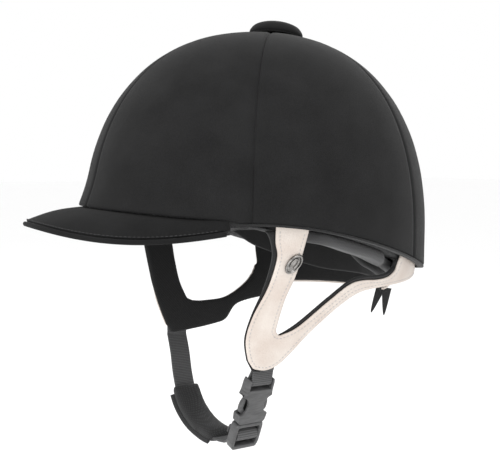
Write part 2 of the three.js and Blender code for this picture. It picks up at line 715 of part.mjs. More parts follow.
// The strap's own frame: X to the rider's left, Y up along the buckle, Z towards the front.
function strapFrame() {
  const sideways = Math.sin(radians(SIDE_LEAN));
  const backwards = Math.sin(radians(FRONT_LEAN));
  const up = new THREE.Vector3(sideways, backwards, Math.sqrt(1 - sideways ** 2 - backwards ** 2));
  const across = new THREE.Vector3(Math.cos(radians(STRAP_YAW)), Math.sin(radians(STRAP_YAW)), 0);
  const front = across.cross(up).normalize();
  const left = up.clone().cross(front);
  return new THREE.Matrix4().makeBasis(left, up, front).setPosition(STRAP_PIVOT);
}

// A strip of webbing along a plane path, with its width along Z.
function ribbon(path, thickness, width) {
  const side = (sign) => path.map((point, i) => {
    const before = path[Math.max(0, i - 1)];
    const after = path[Math.min(path.length - 1, i + 1)];
    const along = after.clone().sub(before).normalize();
    return new THREE.Vector2(point.x - (sign * along.y * thickness) / 2, point.y + (sign * along.x * thickness) / 2);
  });
  const shape = new THREE.Shape([...side(1), ...side(-1).reverse()]);
  return new THREE.ExtrudeGeometry(shape, { depth: width, bevelEnabled: false }).translate(0, 0, -width / 2);
}

const planePoints = (list) => list.map(([x, y]) => new THREE.Vector2(x, y));

function arcPoints(x, y, radius, from, to, steps) {
  return Array.from({ length: steps + 1 }, (_, i) => {
    const angle = radians(lerp(from, to, i / steps));
    return new THREE.Vector2(x + radius * Math.cos(angle), y + radius * Math.sin(angle));
  });
}

const CHIN_CURVE = new THREE.SplineCurve(planePoints([
  [0, -1.2], [10, -12], [22, -27.5], [37, -40.5], [56, -45.8], [77, -44], [93, -38.5],
]));

// The strap passes the ladder bar from inside, turns round it and ends behind the buckle.
function chinStrapPath() {
  const besideBuckle = (list) => planePoints(list.map(([x, y]) => [BUCKLE_X + x, BUCKLE_Y + y]));
  return [
    ...CHIN_CURVE.getSpacedPoints(24),
    ...besideBuckle([[-8.8, -21.8], [-6, -18.2], [-4.8, -15.2], [-2.9, -13.5]]),
    ...arcPoints(BUCKLE_X, BUCKLE_Y + LADDER_Y, 2.6, -105, 105, 8),
    ...besideBuckle([[-2.6, -6.6], [-5.4, -5.9], [-7.4, -7.2], [-8.2, -10], [-8.4, -13]]),
  ];
}

function padSection(from, to, thickness, width) {
  const path = Array.from({ length: 15 }, (_, i) => CHIN_CURVE.getPointAt(lerp(from, to, i / 14)));
  return ribbon(path, thickness, width);
}

function strapLoop(thickness, width) {
  const leg = 0.98;
  return ribbon([
    ...planePoints([[-leg, LOOP_HIGH], [-leg, LOOP_BAR_Y + 7.5]]),
    ...arcPoints(0, LOOP_BAR_Y, 2.6, 150, 390, 9),
    ...planePoints([[leg, LOOP_BAR_Y + 7.5], [leg, LOOP_HIGH]]),
  ], thickness, width);
}

const buckleFrame = () => strapFrame().multiply(new THREE.Matrix4().makeTranslation(BUCKLE_X, BUCKLE_Y, 0));

// Room for the loop's legs in the left lining.
function loopNotch() {
  const half = STRAP_WIDTH / 2 + GAP;
  return block([-8, LOOP_BAR_Y, -half], [3.8, LOOP_HIGH + GAP, half]).applyMatrix4(buckleFrame());
}

// Plate in the buckle's frame from an outline of [z, y] points, centred on its mid-plane.
function buckleFlat(outline, thickness) {
  const shape = new THREE.Shape(planePoints(outline));
  const plate = new THREE.ExtrudeGeometry(shape, { depth: thickness, bevelEnabled: false });
  plate.applyMatrix4(new THREE.Matrix4().makeBasis(
    new THREE.Vector3(0, 0, 1), new THREE.Vector3(0, 1, 0), new THREE.Vector3(-1, 0, 0)));
  return plate.translate(thickness / 2, 0, 0);
}

const symmetric = (half) => [...half, ...half.map(([z, y]) => [-z, y]).reverse()];
const crossBar = (y) =>
  new THREE.CylinderGeometry(BAR_RADIUS, BAR_RADIUS, BAR_LENGTH, 12).rotateX(Math.PI / 2).translate(0, y, 0);
const SLOT_HALF = 9.4;

// The socket: two cheeks and a bar for the webbing to wrap, side windows and a cavity for the latch.
function buildSocket(parent) {
  const outline = symmetric([
    [SLOT_HALF, SOCKET_TOP], [10.8, SOCKET_TOP - 2], [11.2, 25], [12, 21.5], [12, 6], [11.4, 1.4], [10.2, 0],
  ]);
  const body = buckleFlat(outline, 8);
  const slot = block([-6, 26.2, -SLOT_HALF], [6, SOCKET_TOP + 1, SLOT_HALF]);
  const cavity = block([-2.8, -1, -9.8], [2.8, 22, 9.8]);
  const windows = [1, -1].map((side) =>
    block([-6, 7.5, side === 1 ? 8.3 : -14], [6, 20, side === 1 ? 14 : -8.3]));
  addPiece("buckle_socket", join(cut(body, slot, cavity, ...windows), crossBar(LOOP_BAR_Y)), greyPlastic, parent);
}

// The plug: a frame with a ladder bar for the strap, and the tongue that guides it in.
function buildPlug(parent) {
  const outline = symmetric([[11, -GAP], [11.9, -3.3], [11.9, PLUG_BOTTOM + 4], [10.2, PLUG_BOTTOM]]);
  const window = block([-6, PLUG_BOTTOM + 2.7, -SLOT_HALF], [6, -3.3, SLOT_HALF]);
  const tongue = block([-1.7, -1.3, -2], [1.7, 19.5, 2]);
  addPiece("buckle_plug", join(cut(buckleFlat(outline, 7.2), window), crossBar(LADDER_Y), tongue), greyPlastic, parent);
}

function buildProngs(parent) {
  for (const [name, side] of [["front", 1], ["rear", -1]]) {
    const outline = [
      [6.2, GAP], [8.9, GAP], [8.7, 7.8], [11.7, 8.6], [11.5, 13], [8.8, 19], [7.2, 20], [6.4, 17],
    ].map(([z, y]) => [side * z, y]);
    addPiece(`buckle_prong_${name}`, buckleFlat(side === 1 ? outline : outline.reverse(), 3.4), greyPlastic, parent);
  }
}

const PAD_SHARE = [0.375, 0.95];

function buildStrap() {
  const strap = new THREE.Group();
  strap.applyMatrix4(strapFrame());
  const buckle = new THREE.Group();
  buckle.applyMatrix4(buckleFrame());
  model.add(strap, buckle);
  addPiece("strap_loop_left", strapLoop(WEBBING, STRAP_WIDTH), webbing, buckle);
  addPiece("chin_strap", ribbon(chinStrapPath(), WEBBING, STRAP_WIDTH), webbing, strap);
  const [from, to] = PAD_SHARE;
  const passage = padSection(from - 0.02, to + 0.02, WEBBING + 2 * GAP, STRAP_WIDTH + 2 * GAP);
  addPiece("chin_pad", cut(padSection(from, to, 11, 26), passage), blackFabric, strap);
  buildSocket(buckle);
  buildPlug(buckle);
  buildProngs(buckle);
}

buildGores();
buildShellAndLiner();
buildButton();
buildPeak();
buildRearBow();
buildHarness();
buildRivets();
buildLace();
buildStrap();

export default model;
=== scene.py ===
# Looks of the riding hat: smooth velvet, leather, padded cloth, webbing and moulded plastic around the
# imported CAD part. Lengths are in millimetres until a mesh is made, in the part's frame: +Z up, -Y front.
import bisect
import math
import bmesh
import bpy
from mathutils import Matrix, Vector, noise
from mathutils.geometry import delaunay_2d_cdt


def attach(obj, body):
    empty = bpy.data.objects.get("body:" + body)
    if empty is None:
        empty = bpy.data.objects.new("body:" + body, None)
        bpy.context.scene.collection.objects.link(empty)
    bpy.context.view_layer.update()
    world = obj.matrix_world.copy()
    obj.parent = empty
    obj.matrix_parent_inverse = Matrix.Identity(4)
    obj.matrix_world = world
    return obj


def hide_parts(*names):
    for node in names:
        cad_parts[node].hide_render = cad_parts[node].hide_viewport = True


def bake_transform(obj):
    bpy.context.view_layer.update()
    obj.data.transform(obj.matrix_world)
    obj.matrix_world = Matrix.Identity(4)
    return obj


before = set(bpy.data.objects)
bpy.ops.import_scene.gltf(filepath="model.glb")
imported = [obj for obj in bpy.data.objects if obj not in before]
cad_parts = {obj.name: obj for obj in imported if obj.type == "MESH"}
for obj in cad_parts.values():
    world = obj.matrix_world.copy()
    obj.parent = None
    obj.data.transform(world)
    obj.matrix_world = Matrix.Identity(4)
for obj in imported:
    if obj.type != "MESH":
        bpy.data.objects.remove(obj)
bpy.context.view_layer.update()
MM = 0.001

# ------------------------------------------------------------------ dimensions
# These are the part's, with small shifts where the looks differ from it, and finer ones of the looks.

HALF_WIDTH = 109
HALF_LENGTH = 133
CROWN_HEIGHT = 148.8
WALL_TOP = -15.7
CROWN_POWER = 2.3
BUTTON_BACK = 13
WALL_UNIT = 150
RIM_FRONT = 1.5
RIM_DROP = 45.5
GAP = 0.3
VELVET = 1.5
SHELL_IN = 5
FOAM_OUT = 10.4
FOAM_IN = 26
PAD_OUT = 27.6
PAD_IN = 32.5
CROWN_PAD_LOW = 75.5
CROWN_PAD_HOLE = 6
CROWN_PAD_REACH = 60
CROWN_PAD_QUILT = 1.4
BINDING = 1.4
ROLL_OUT = 17.5
ROLL_OUT_FREE = 10
ROLL_REACH = 8.2
ROLL_REACH_LEFT = 3.4
ROLL_PUFF = 0.25
ROLL_PUFFS = 22
BAND_HIGH = 30
BAND_LOW = 4
BAND_DROP = 6
VELVET_HOLE = 8
PEAK_HALF_WIDTH = 91
PEAK_SIDE_Y = -72
PEAK_LENGTH = 100
PEAK_JOIN_ANGLE = 56
PEAK_EDGE_THICK = 3.6
PEAK_EDGE_LOW = 0.6
PEAK_EDGE_DROP = 6.4
PEAK_ARCH = 2.2
PEAK_ROOT_SIDE = 4.2
PEAK_ROOT_RISE = 5.6
COVER = 0.9
PIPING_RADIUS = 1.1
FILLET_HEIGHT = 20
FILLET_REACH = 4.2
BUTTON_SINK = 0.6
BUTTON_TILT = 7
SIDES = (("left", 1), ("right", -1))
HARNESS_HALF_WIDTH = 102.4
HARNESS_HALF_LENGTH = 126.5
HARNESS_BLEND = 45
HARNESS_TAPER = 0.56
HARNESS_CURVE = 0.0016
HARNESS_REAR_TAPER = 0.12
HARNESS_SHIFT = 40
HARNESS_AHEAD = 28.8
TUCK = 8.5
LEATHER = 2
LINING_IN = LEATHER + GAP + 3
# The harness outlines are (distance towards the back, height) points of each half.
YOKES = {
    "left": {
        "front": [(-52, 14), (-47.6, -8), (-43.4, -20), (-44.4, -39.5),
                  (-50.6, -60), (-52.4, -76), (-48.6, -91)],
        "bottom": [(-44, -97.4), (-33.6, -99.6), (-21.8, -94), (-4, -74.7),
                   (15.6, -57), (31, -48.6), (56, -46.2)],
        "upper": [(56, -35.6), (50, -39.4), (40, -40.7), (29, -40.3), (18.2, -42.2),
                  (4.8, -52.9), (-15.7, -70.5), (-29, -75.2)],
        "back": [(-32, -71.4), (-30.4, -50), (-27.4, -33), (-27.6, -14), (-30.5, 14)],
    },
    "right": {
        "front": [(-62.5, 14), (-61.8, -10), (-61.4, -26), (-61.2, -46),
                  (-60.4, -67), (-57.6, -79), (-54, -90)],
        "bottom": [(-50, -94.2), (-33, -95.5), (-7, -95), (4, -92.6),
                   (15, -83), (28, -79.8), (46, -78.4)],
        "upper": [(46, -52), (32, -65), (8, -75.4), (-16, -76.2), (-28, -74)],
        "back": [(-33, -71.4), (-37.6, -58), (-38.8, -42), (-38, -27), (-37.4, -10), (-37.6, 14)],
    },
}
# Each drape's upper edge rises and its lower edge drops between these ring angles.
DRAPES = {
    "left": {"start": -41, "rise": (110.3, 121.6), "low": -46.2, "drop": (158, 178)},
    "right": {"start": -52, "rise": (98, 125), "low": -78.4, "drop": (104, 120)},
}
DRAPE_LOW_BACK = -69
DRAPE_END = 178
DEGREE = 1.9  # millimetres round the harness for each degree of ring angle
LINING_SHOW = {"left": 3.2, "right": 0.8}
LINING_TOP = -2
STITCH_INSET = 2.2
HARNESS_STITCH = (2.7, 1.9, 0.2)
PEAK_STITCH = (2.6, 1.9, 0.28)
SEWN_ROWS = (0.3, 0.8, 1.6)
PADDED_ROWS = (0.3, 0.8, 1.6, 2.6)
EYELET_ANGLE = 174.5
EYELET_HEIGHTS = (-51, -60)
BADGE_ANGLES = {"left": 73.2, "right": 65.5}
BADGE_Z = -23.5
BADGE_LEAN = 27
BADGE_NARROW = 0.62
STRAP_PIVOT = Vector((-57.7, -43.7, -97.5))
SIDE_LEAN = math.radians(15)
FRONT_LEAN = math.radians(7.5)
STRAP_YAW = math.radians(6.5)
WEBBING = 1.6
STRAP_WIDTH = 18
BUCKLE_X = 107
BUCKLE_Y = -14
SOCKET_TOP = 33.8
PLUG_BOTTOM = -20.5
LADDER_Y = -10.5
LOOP_BAR_Y = 31.3
LOOP_HIGH = 57
SLOT_HALF = 9.4
BAR_RADIUS = 1.5
BAR_HALF = 9.8
CHIN_CURVE = [(0, -1.2), (10, -12), (22, -27.5), (37, -40.5), (56, -45.8), (77, -44), (93, -38.5)]
PAD_START = 0.365
PAD_END = 0.95
PAD_SHIFT = 1.1
PAD_THICK = 10.5
PAD_WIDTH = 24.5
PAD_ROUND = 9
PAD_LENGTH = 80
PAD_VOXEL = 3.5 * MM
PAD_PRESSURE = 4
PAD_SWELL = 2.5 * MM
CLOTH_FRAMES = 20
GORE_SPAN = 60
GORE_LENGTH = 170
SEAM_DEPTH = 0.95
SEAM_WIDTH = 1.5
SEAM_GAP = 0.13
PILE_UNEVEN = 0.12
GORE_NAMES = ["front_left", "side_left", "rear_left", "rear_right", "side_right", "front_right"]
BOW_MIDDLE = -19.5
BOW_HALF_ANGLE = 20
BOW_OUT = 2.7
CROSS_Z = -55
KNOT_Z = -69.6
TAIL_TOP = -68
TAIL_DROP = 23.5
FLOOR_Z = -0.32
WAVE_PERIOD = 2 * math.pi / 20  # length of one wave of Blender's wave texture at scale 1

# ------------------------------------------------------------------ camera, light and floor


def add_camera():
    camera = bpy.data.objects.new("camera", bpy.data.cameras.new("camera"))
    bpy.context.collection.objects.link(camera)
    camera.location = (0.4217, -0.2719, 0.0369)
    camera.rotation_euler = Vector((-0.8452, 0.5256, -0.0967)).to_track_quat("-Z", "Y").to_euler()
    camera.data.sensor_width = 36
    camera.data.lens = 47.6
    bpy.context.scene.camera = camera


def add_area_light(name, place, target, size, power):
    lamp = bpy.data.objects.new(name, bpy.data.lights.new(name, "AREA"))
    bpy.context.collection.objects.link(lamp)
    lamp.location = place
    lamp.rotation_euler = (Vector(target) - Vector(place)).to_track_quat("-Z", "Y").to_euler()
    lamp.data.shape = "DISK"
    lamp.data.size = size
    lamp.data.energy = power


def add_studio():
    world = bpy.data.worlds.new("studio")
    world.use_nodes = True
    background = world.node_tree.nodes["Background"]
    background.inputs["Color"].default_value = (1, 1, 1, 1)
    background.inputs["Strength"].default_value = 1.0
    bpy.context.scene.world = world
    bpy.context.scene.view_settings.view_transform = "Standard"
    add_area_light("key", (0.9, -0.7, 0.9), (0, 0, -0.03), 0.8, 9)
    add_area_light("fill", (0.4, -1.2, 0.1), (0, 0, -0.06), 0.9, 4)
    add_area_light("back", (-0.6, 1.0, 0.7), (0, 0, 0), 0.8, 5)
    bpy.ops.mesh.primitive_plane_add(size=30, location=(0, 0, FLOOR_Z))
    floor = bpy.context.object
    floor.name = "floor"
    material, _, _ = new_material("floor_paper", {"Base Color": (0.98, 0.98, 0.98, 1), "Roughness": 0.9})
    floor.data.materials.append(material)


# ------------------------------------------------------------------ materials


class Shading:
    """Adds nodes to one material's tree, with object coordinates at hand."""

    def __init__(self, tree):
        self.tree = tree
        self.coords = tree.nodes.new("ShaderNodeTexCoord")

    def link(self, source, target):
        self.tree.links.new(source, target)

    def noise(self, scale, detail=3.0, stretch=None):
        node = self.tree.nodes.new("ShaderNodeTexNoise")
        node.inputs["Scale"].default_value = scale
        node.inputs["Detail"].default_value = detail
        self.link(self.mapped(stretch), node.inputs["Vector"])
        return node.outputs["Fac"]

    def mapped(self, stretch):
        if stretch is None:
            return self.coords.outputs["Object"]
        node = self.tree.nodes.new("ShaderNodeMapping")
        node.inputs["Scale"].default_value = stretch
        self.link(self.coords.outputs["Object"], node.inputs["Vector"])
        return node.outputs["Vector"]

    def cells(self, scale):
        node = self.tree.nodes.new("ShaderNodeTexVoronoi")
        node.inputs["Scale"].default_value = scale
        self.link(self.coords.outputs["Object"], node.inputs["Vector"])
        return node.outputs["Distance"]

    def bands(self, scale, direction, source=None):
        node = self.tree.nodes.new("ShaderNodeTexWave")
        node.bands_direction = direction
        node.inputs["Scale"].default_value = scale
        self.link(source or self.coords.outputs["Object"], node.inputs["Vector"])
        return node.outputs["Fac"]

    def math(self, operation, first, second):
        node = self.tree.nodes.new("ShaderNodeMath")
        node.operation = operation
        for socket, value in zip(node.inputs, (first, second)):
            if isinstance(value, (int, float)):
                socket.default_value = value
            else:
                self.link(value, socket)
        return node.outputs["Value"]

    def weighted(self, first, first_share, second, second_share):
        parts = [self.math("MULTIPLY", first, first_share), self.math("MULTIPLY", second, second_share)]
        return self.math("ADD", *parts)

    def colours(self, factor, stops):
        node = self.tree.nodes.new("ShaderNodeValToRGB")
        ramp = node.color_ramp
        while len(ramp.elements) < len(stops):
            ramp.elements.new(0.5)
        for element, (position, colour) in zip(ramp.elements, stops):
            element.position = position
            element.color = (*colour, 1)
        self.link(factor, node.inputs["Fac"])
        return node.outputs["Color"]

    def multiply(self, first, second, share):
        node = self.tree.nodes.new("ShaderNodeMix")
        node.data_type = "RGBA"
        node.blend_type = "MULTIPLY"
        node.inputs["Factor"].default_value = share
        self.link(first, node.inputs["A"])
        self.link(second, node.inputs["B"])
        return node.outputs["Result"]

    def bump(self, shader, height, strength, distance):
        node = self.tree.nodes.new("ShaderNodeBump")
        node.inputs["Strength"].default_value = strength
        node.inputs["Distance"].default_value = distance
        self.link(height, node.inputs["Height"])
        self.link(node.outputs["Normal"], shader.inputs["Normal"])


def new_material(name, inputs):
    """A new material, its shader with the given inputs set, and the maker of its other nodes."""
    material = bpy.data.materials.new(name)
    material.use_nodes = True
    shader = material.node_tree.nodes["Principled BSDF"]
    for label, value in inputs.items():
        shader.inputs[label].default_value = value
    return material, shader, Shading(material.node_tree)


def grey(value):
    return (value, value, value * 1.02)


def velvet_material(name, dark, light, sheen):
    material, shader, shading = new_material(name, {
        "Roughness": 0.92, "Specular IOR Level": 0.15, "Sheen Weight": sheen, "Sheen Roughness": 0.45})
    pile = shading.noise(2400, 2)
    nap = shading.noise(38, 4)
    mixed = shading.weighted(pile, 0.6, nap, 0.4)
    colour = shading.colours(mixed, [(0.36, grey(dark)), (0.64, grey(light))])
    shading.link(colour, shader.inputs["Base Color"])
    shading.bump(shader, pile, 0.5, 0.0004)
    return material


def cloth_material(name, dark, light, pitch):
    """A plain weave: two sets of threads a pitch apart in millimetres, with uneven dye."""
    material, shader, shading = new_material(name, {
        "Roughness": 0.88, "Specular IOR Level": 0.2, "Sheen Weight": 0.12})
    scale = WAVE_PERIOD / (pitch * MM)
    weave = shading.math("MULTIPLY", shading.bands(scale, "DIAGONAL"), shading.bands(scale, "Z"))
    mixed = shading.weighted(weave, 0.35, shading.noise(1500, 3), 0.65)
    colour = shading.colours(mixed, [(0.25, grey(dark)), (0.65, grey(light))])
    shading.link(colour, shader.inputs["Base Color"])
    shading.bump(shader, mixed, 0.6, 0.0004)
    return material


def leather_material(name, low, high):
    material, shader, shading = new_material(name, {"Specular IOR Level": 0.35})
    blotch = shading.noise(55, 5)
    pores = shading.noise(1900, 2)
    tone = shading.colours(blotch, [(0.32, low), (0.62, high)])
    pits = shading.colours(pores, [(0.3, (0.9, 0.88, 0.86)), (0.5, (1, 1, 1))])
    shading.link(shading.multiply(tone, pits, 0.7), shader.inputs["Base Color"])
    rough = shading.math("ADD", shading.math("MULTIPLY", blotch, 0.25), 0.42)
    shading.link(rough, shader.inputs["Roughness"])
    grain = shading.math("ADD", shading.cells(850), shading.math("MULTIPLY", pores, 0.4))
    shading.bump(shader, grain, 0.35, 0.0004)
    return material


def webbing_material(name, dark, light):
    """Ribs across the strap and fine threads along it, from the strap's own length and width."""
    material, shader, shading = new_material(name, {
        "Roughness": 0.8, "Specular IOR Level": 0.3, "Sheen Weight": 0.1})
    strap = shading.coords.outputs["UV"]
    ribs = shading.bands(WAVE_PERIOD / 0.13, "X", strap)
    threads = shading.bands(WAVE_PERIOD / 0.09, "Y", strap)
    fuzz = shading.math("MULTIPLY", shading.noise(1300, 3), 0.4)
    mixed = shading.math("ADD", shading.weighted(ribs, 0.5, threads, 0.25), fuzz)
    colour = shading.colours(mixed, [(0.25, grey(dark)), (0.8, grey(light))])
    shading.link(colour, shader.inputs["Base Color"])
    shading.bump(shader, mixed, 0.7, 0.0005)
    return material


def plastic_material(name, dark, light, rough):
    material, shader, shading = new_material(name, {})
    scuff = shading.noise(140, 5, (1, 1, 5))
    colour = shading.colours(scuff, [(0.35, grey(dark)), (0.7, grey(light))])
    shading.link(colour, shader.inputs["Base Color"])
    worn = shading.math("ADD", shading.math("MULTIPLY", scuff, 0.25), rough)
    shading.link(worn, shader.inputs["Roughness"])
    shading.bump(shader, shading.noise(2600, 2), 0.15, 0.0002)
    return material


def metal_material(name, dark, light):
    material, shader, shading = new_material(name, {"Metallic": 1})
    brush = shading.noise(700, 4, (1, 1, 6))
    tarnish = shading.noise(260, 4)
    mixed = shading.weighted(brush, 0.4, tarnish, 0.6)
    shading.link(shading.colours(mixed, [(0.35, dark), (0.62, light)]), shader.inputs["Base Color"])
    dull = shading.math("ADD", shading.math("MULTIPLY", tarnish, 0.3), 0.18)
    shading.link(dull, shader.inputs["Roughness"])
    shading.bump(shader, brush, 0.2, 0.0001)
    return material


def foam_material(name, dark, light):
    material, shader, shading = new_material(name, {"Roughness": 0.85})
    beads = shading.cells(420)
    colour = shading.colours(beads, [(0.1, grey(light)), (0.7, grey(dark))])
    shading.link(colour, shader.inputs["Base Color"])
    shading.bump(shader, beads, 0.5, 0.0006)
    return material


# ------------------------------------------------------------------ mesh helpers


def smoothstep(value, low, high):
    share = min(1.0, max(0.0, (value - low) / (high - low)))
    return share * share * (3 - 2 * share)


def lerp(first, second, share):
    return first + (second - first) * share


def steps(low, high, count):
    return [lerp(low, high, i / count) for i in range(count + 1)]


def circle(count):
    """Cosine and sine of even steps round a circle."""
    return [(math.cos(a), math.sin(a)) for a in steps(0, 2 * math.pi, count)[:-1]]


def ellipse(middle, first, second, count):
    """A ring of points round a middle, with first and second as its half axes."""
    return [middle + first * c + second * s for c, s in circle(count)]


def make_piece(name, shape, material, replaced=(), body="helmet", ridden=True):
    """A smooth mesh piece from a shape, its points in millimetres and its faces, hiding the CAD parts it
    replaces.
    """
    points, faces = shape
    mesh = bpy.data.meshes.new(name)
    mesh.from_pydata([tuple(c * MM for c in point) for point in points], [], faces)
    work = bmesh.new()
    work.from_mesh(mesh)
    bmesh.ops.remove_doubles(work, verts=work.verts, dist=2e-6)
    bmesh.ops.recalc_face_normals(work, faces=work.faces)
    work.to_mesh(mesh)
    work.free()
    for polygon in mesh.polygons:
        polygon.use_smooth = True
    piece = bpy.data.objects.new(name, mesh)
    bpy.context.collection.objects.link(piece)
    mesh.materials.append(material)
    if replaced:
        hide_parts(*replaced)
    if ridden:
        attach(piece, body)
    return piece


def grid_slab(outer, inner, ring=False):
    """Points and faces of a slab between two grids of points, closed along its borders."""
    rows, columns = len(outer), len(outer[0])
    points = [p for row in outer for p in row] + [p for row in inner for p in row]

    def at(side, row, column):
        return side * rows * columns + row * columns + column % columns

    faces = []
    for a in range(columns if ring else columns - 1):
        b = a + 1
        for row in range(rows - 1):
            faces.append((at(0, row, a), at(0, row, b), at(0, row + 1, b), at(0, row + 1, a)))
            faces.append((at(1, row, a), at(1, row + 1, a), at(1, row + 1, b), at(1, row, b)))
        last = rows - 1
        faces.append((at(0, 0, a), at(1, 0, a), at(1, 0, b), at(0, 0, b)))
        faces.append((at(0, last, a), at(0, last, b), at(1, last, b), at(1, last, a)))
    if not ring:
        for row in range(rows - 1):
            end = columns - 1
            faces.append((at(0, row, 0), at(0, row + 1, 0), at(1, row + 1, 0), at(1, row, 0)))
            faces.append((at(0, row, end), at(1, row, end), at(1, row + 1, end), at(0, row + 1, end)))
    return points, faces


def ring_sweep(sections, closed=False):
    """Points and faces of a tube through rings of points, with its two ends capped unless it is closed."""
    count = len(sections[0])
    points = [p for section in sections for p in section]
    faces = []
    spans = len(sections) if closed else len(sections) - 1
    for i in range(spans):
        a, b = i * count, ((i + 1) % len(sections)) * count
        for j in range(count):
            k = (j + 1) % count
            faces.append((a + j, a + k, b + k, b + j))
    if not closed:
        faces.append(tuple(range(count))[::-1])
        faces.append(tuple(range((len(sections) - 1) * count, len(sections) * count)))
    return points, faces


def lathe(profile, sides, matrix):
    """Points and faces of a turned solid from (radius, height) points that start and end on the axis."""
    return ring_sweep([[matrix @ Vector((radius * c, radius * s, height)) for c, s in circle(sides)]
                       for radius, height in profile])


def joined(parts):
    """One shape from several."""
    points, faces = [], []
    for new_points, new_faces in parts:
        start = len(points)
        points += new_points
        faces += [tuple(v + start for v in face) for face in new_faces]
    return points, faces


def spline(points, count):
    """Catmull-Rom curve through plane points, as count + 1 points."""
    result = []
    last = len(points) - 1
    for share in steps(0, 1, count):
        place = share * last
        i = min(int(place), last - 1)
        t = place - i
        p0, p1 = points[max(0, i - 1)], points[i]
        p2, p3 = points[i + 1], points[min(last, i + 2)]
        result.append(tuple(
            0.5 * (2 * b + (c - a) * t
                   + (2 * a - 5 * b + 4 * c - d) * t ** 2
                   + (3 * b - a - 3 * c + d) * t ** 3)
            for a, b, c, d in zip(p0, p1, p2, p3)))
    return result


def even(points, pitch):
    """The same line with points an even distance apart, its own ends kept."""
    lengths = [0.0]
    for a, b in zip(points, points[1:]):
        lengths.append(lengths[-1] + math.dist(a, b))
    count = max(1, round(lengths[-1] / pitch))
    result = []
    for target in steps(0, lengths[-1], count):
        i = min(max(1, bisect.bisect_left(lengths, target)), len(points) - 1)
        span = lengths[i] - lengths[i - 1]
        share = (target - lengths[i - 1]) / span if span else 0
        result.append(tuple(lerp(a, b, share) for a, b in zip(points[i - 1], points[i])))
    return result


# ------------------------------------------------------------------ crown surface


def signed(angle):
    """The ring angle between -180 and 180, so that 0 is the front and the rider's left is positive."""
    return (angle + 180) % 360 - 180


def rim_height(angle):
    return RIM_FRONT - RIM_DROP * smoothstep(abs(signed(angle)), 60, 160)


def crown_point(angle, rise, depth):
    """A point of the crown at a depth under the velvet, at a ring angle and a rise of 0 at the wall's
    top and 1 at the button. Below the wall's top the rise is negative and the wall upright."""
    width, length, height = HALF_WIDTH - depth, HALF_LENGTH - depth, CROWN_HEIGHT - depth
    along = math.radians(angle)
    reach = max(0.0, math.cos(rise * math.pi / 2)) ** (2 / CROWN_POWER) if rise > 0 else 1
    x = width * reach * math.sin(along)
    y = -length * reach * math.cos(along) + BUTTON_BACK * (1 - reach)
    if rise <= 0:
        return Vector((x, y, WALL_TOP + rise * WALL_UNIT))
    distance = min(1, math.hypot(x / width, y / length))
    return Vector((x, y, WALL_TOP + height * (1 - distance ** CROWN_POWER) ** (1 / CROWN_POWER)))


def rise_at(angle, z, depth):
    """The rise at which the crown reaches a height."""
    if z <= WALL_TOP:
        return (z - WALL_TOP) / WALL_UNIT
    low, high = 0.0, 0.9
    for _ in range(30):
        middle = (low + high) / 2
        if crown_point(angle, middle, depth).z < z:
            low = middle
        else:
            high = middle
    return low


def rise_near_button(radius, depth):
    """The rise of a ring of this radius round the button."""
    return 2 / math.pi * math.acos((radius / (HALF_WIDTH - depth)) ** (CROWN_POWER / 2))


def peak_join_height(turn):
    return PEAK_ROOT_SIDE + PEAK_ROOT_RISE * math.cos(math.radians(turn))


def velvet_bottom(angle):
    above = rim_height(angle) + BINDING + GAP
    if abs(signed(angle)) >= PEAK_JOIN_ANGLE:
        return above
    return max(above, peak_join_height(signed(angle) / PEAK_JOIN_ANGLE * 90) + GAP)


def edge_profile(distance, drop, reach):
    """How far a rounded edge has dropped at a distance inside it."""
    if distance >= reach:
        return 0.0
    share = 1 - max(0.0, distance) / reach
    return drop * (1 - math.sqrt(1 - share * share))


def peak_fillet(angle, above):
    """How far the velvet flares out over the peak's join, at a height above its lower edge."""
    share = max(0.0, 1 - above / FILLET_HEIGHT)
    beside = 1 - smoothstep(abs(signed(angle)), PEAK_JOIN_ANGLE - 16, PEAK_JOIN_ANGLE)
    return FILLET_REACH * share ** 2.2 * beside


def gore_depth(skin, beside, above, angle):
    """How deep the velvet lies under its full outline: seam, lower edge, unevenness and fillet."""
    seam = SEAM_DEPTH * math.exp(-((beside / SEAM_WIDTH) ** 2))
    uneven = PILE_UNEVEN * noise.noise(skin * 0.06) * smoothstep(beside, 0, 6)
    return seam + edge_profile(above, 0.7, 1.6) + uneven - peak_fillet(angle, above)


def gore_pair(angle, share, height):
    """The outer and inner point of a gore at a share of its width and of its height."""
    rise = lerp(rise_at(angle, velvet_bottom(angle), 0), rise_near_button(VELVET_HOLE, 0), height)
    skin = crown_point(angle, rise, 0)
    radius = math.hypot(skin.x, skin.y - BUTTON_BACK)
    beside = min(share, 1 - share) * math.radians(GORE_SPAN) * radius
    depth = gore_depth(skin, beside, height * GORE_LENGTH, angle)
    if share in (0, 1):
        angle += math.degrees((SEAM_GAP if share == 0 else -SEAM_GAP) / max(0.05, radius))
    return crown_point(angle, rise, depth), crown_point(angle, rise, VELVET + 0.1)


def build_gores():
    shares = [0, 0.004, 0.01, 0.02, 0.035, 0.06]
    shares += steps(0.1, 0.9, 22) + [0.94, 0.965, 0.98, 0.99, 0.996, 1]
    heights = [0, 0.004, 0.01, 0.02] + steps(0.04, 1, 46)
    for gore, name in enumerate(GORE_NAMES):
        rows = [[gore_pair((gore + share) * GORE_SPAN, share, height) for share in shares]
                for height in heights]
        outer, inner = ([[pair[side] for pair in row] for row in rows] for side in (0, 1))
        make_piece(f"velvet_{name}", grid_slab(outer, inner), velvet, [f"velvet_gore_{name}"])


def crown_tube(name, section_at, material, replaced, count=180):
    """A closed band round the crown. Section_at gives a ring of (depth, height) points for an angle."""
    sections = []
    for angle in steps(0, 360, count)[:-1]:
        section = section_at(angle)
        sections.append([crown_point(angle, rise_at(angle, z, depth), depth) for depth, z in section])
    return make_piece(name, ring_sweep(sections, closed=True), material, replaced)


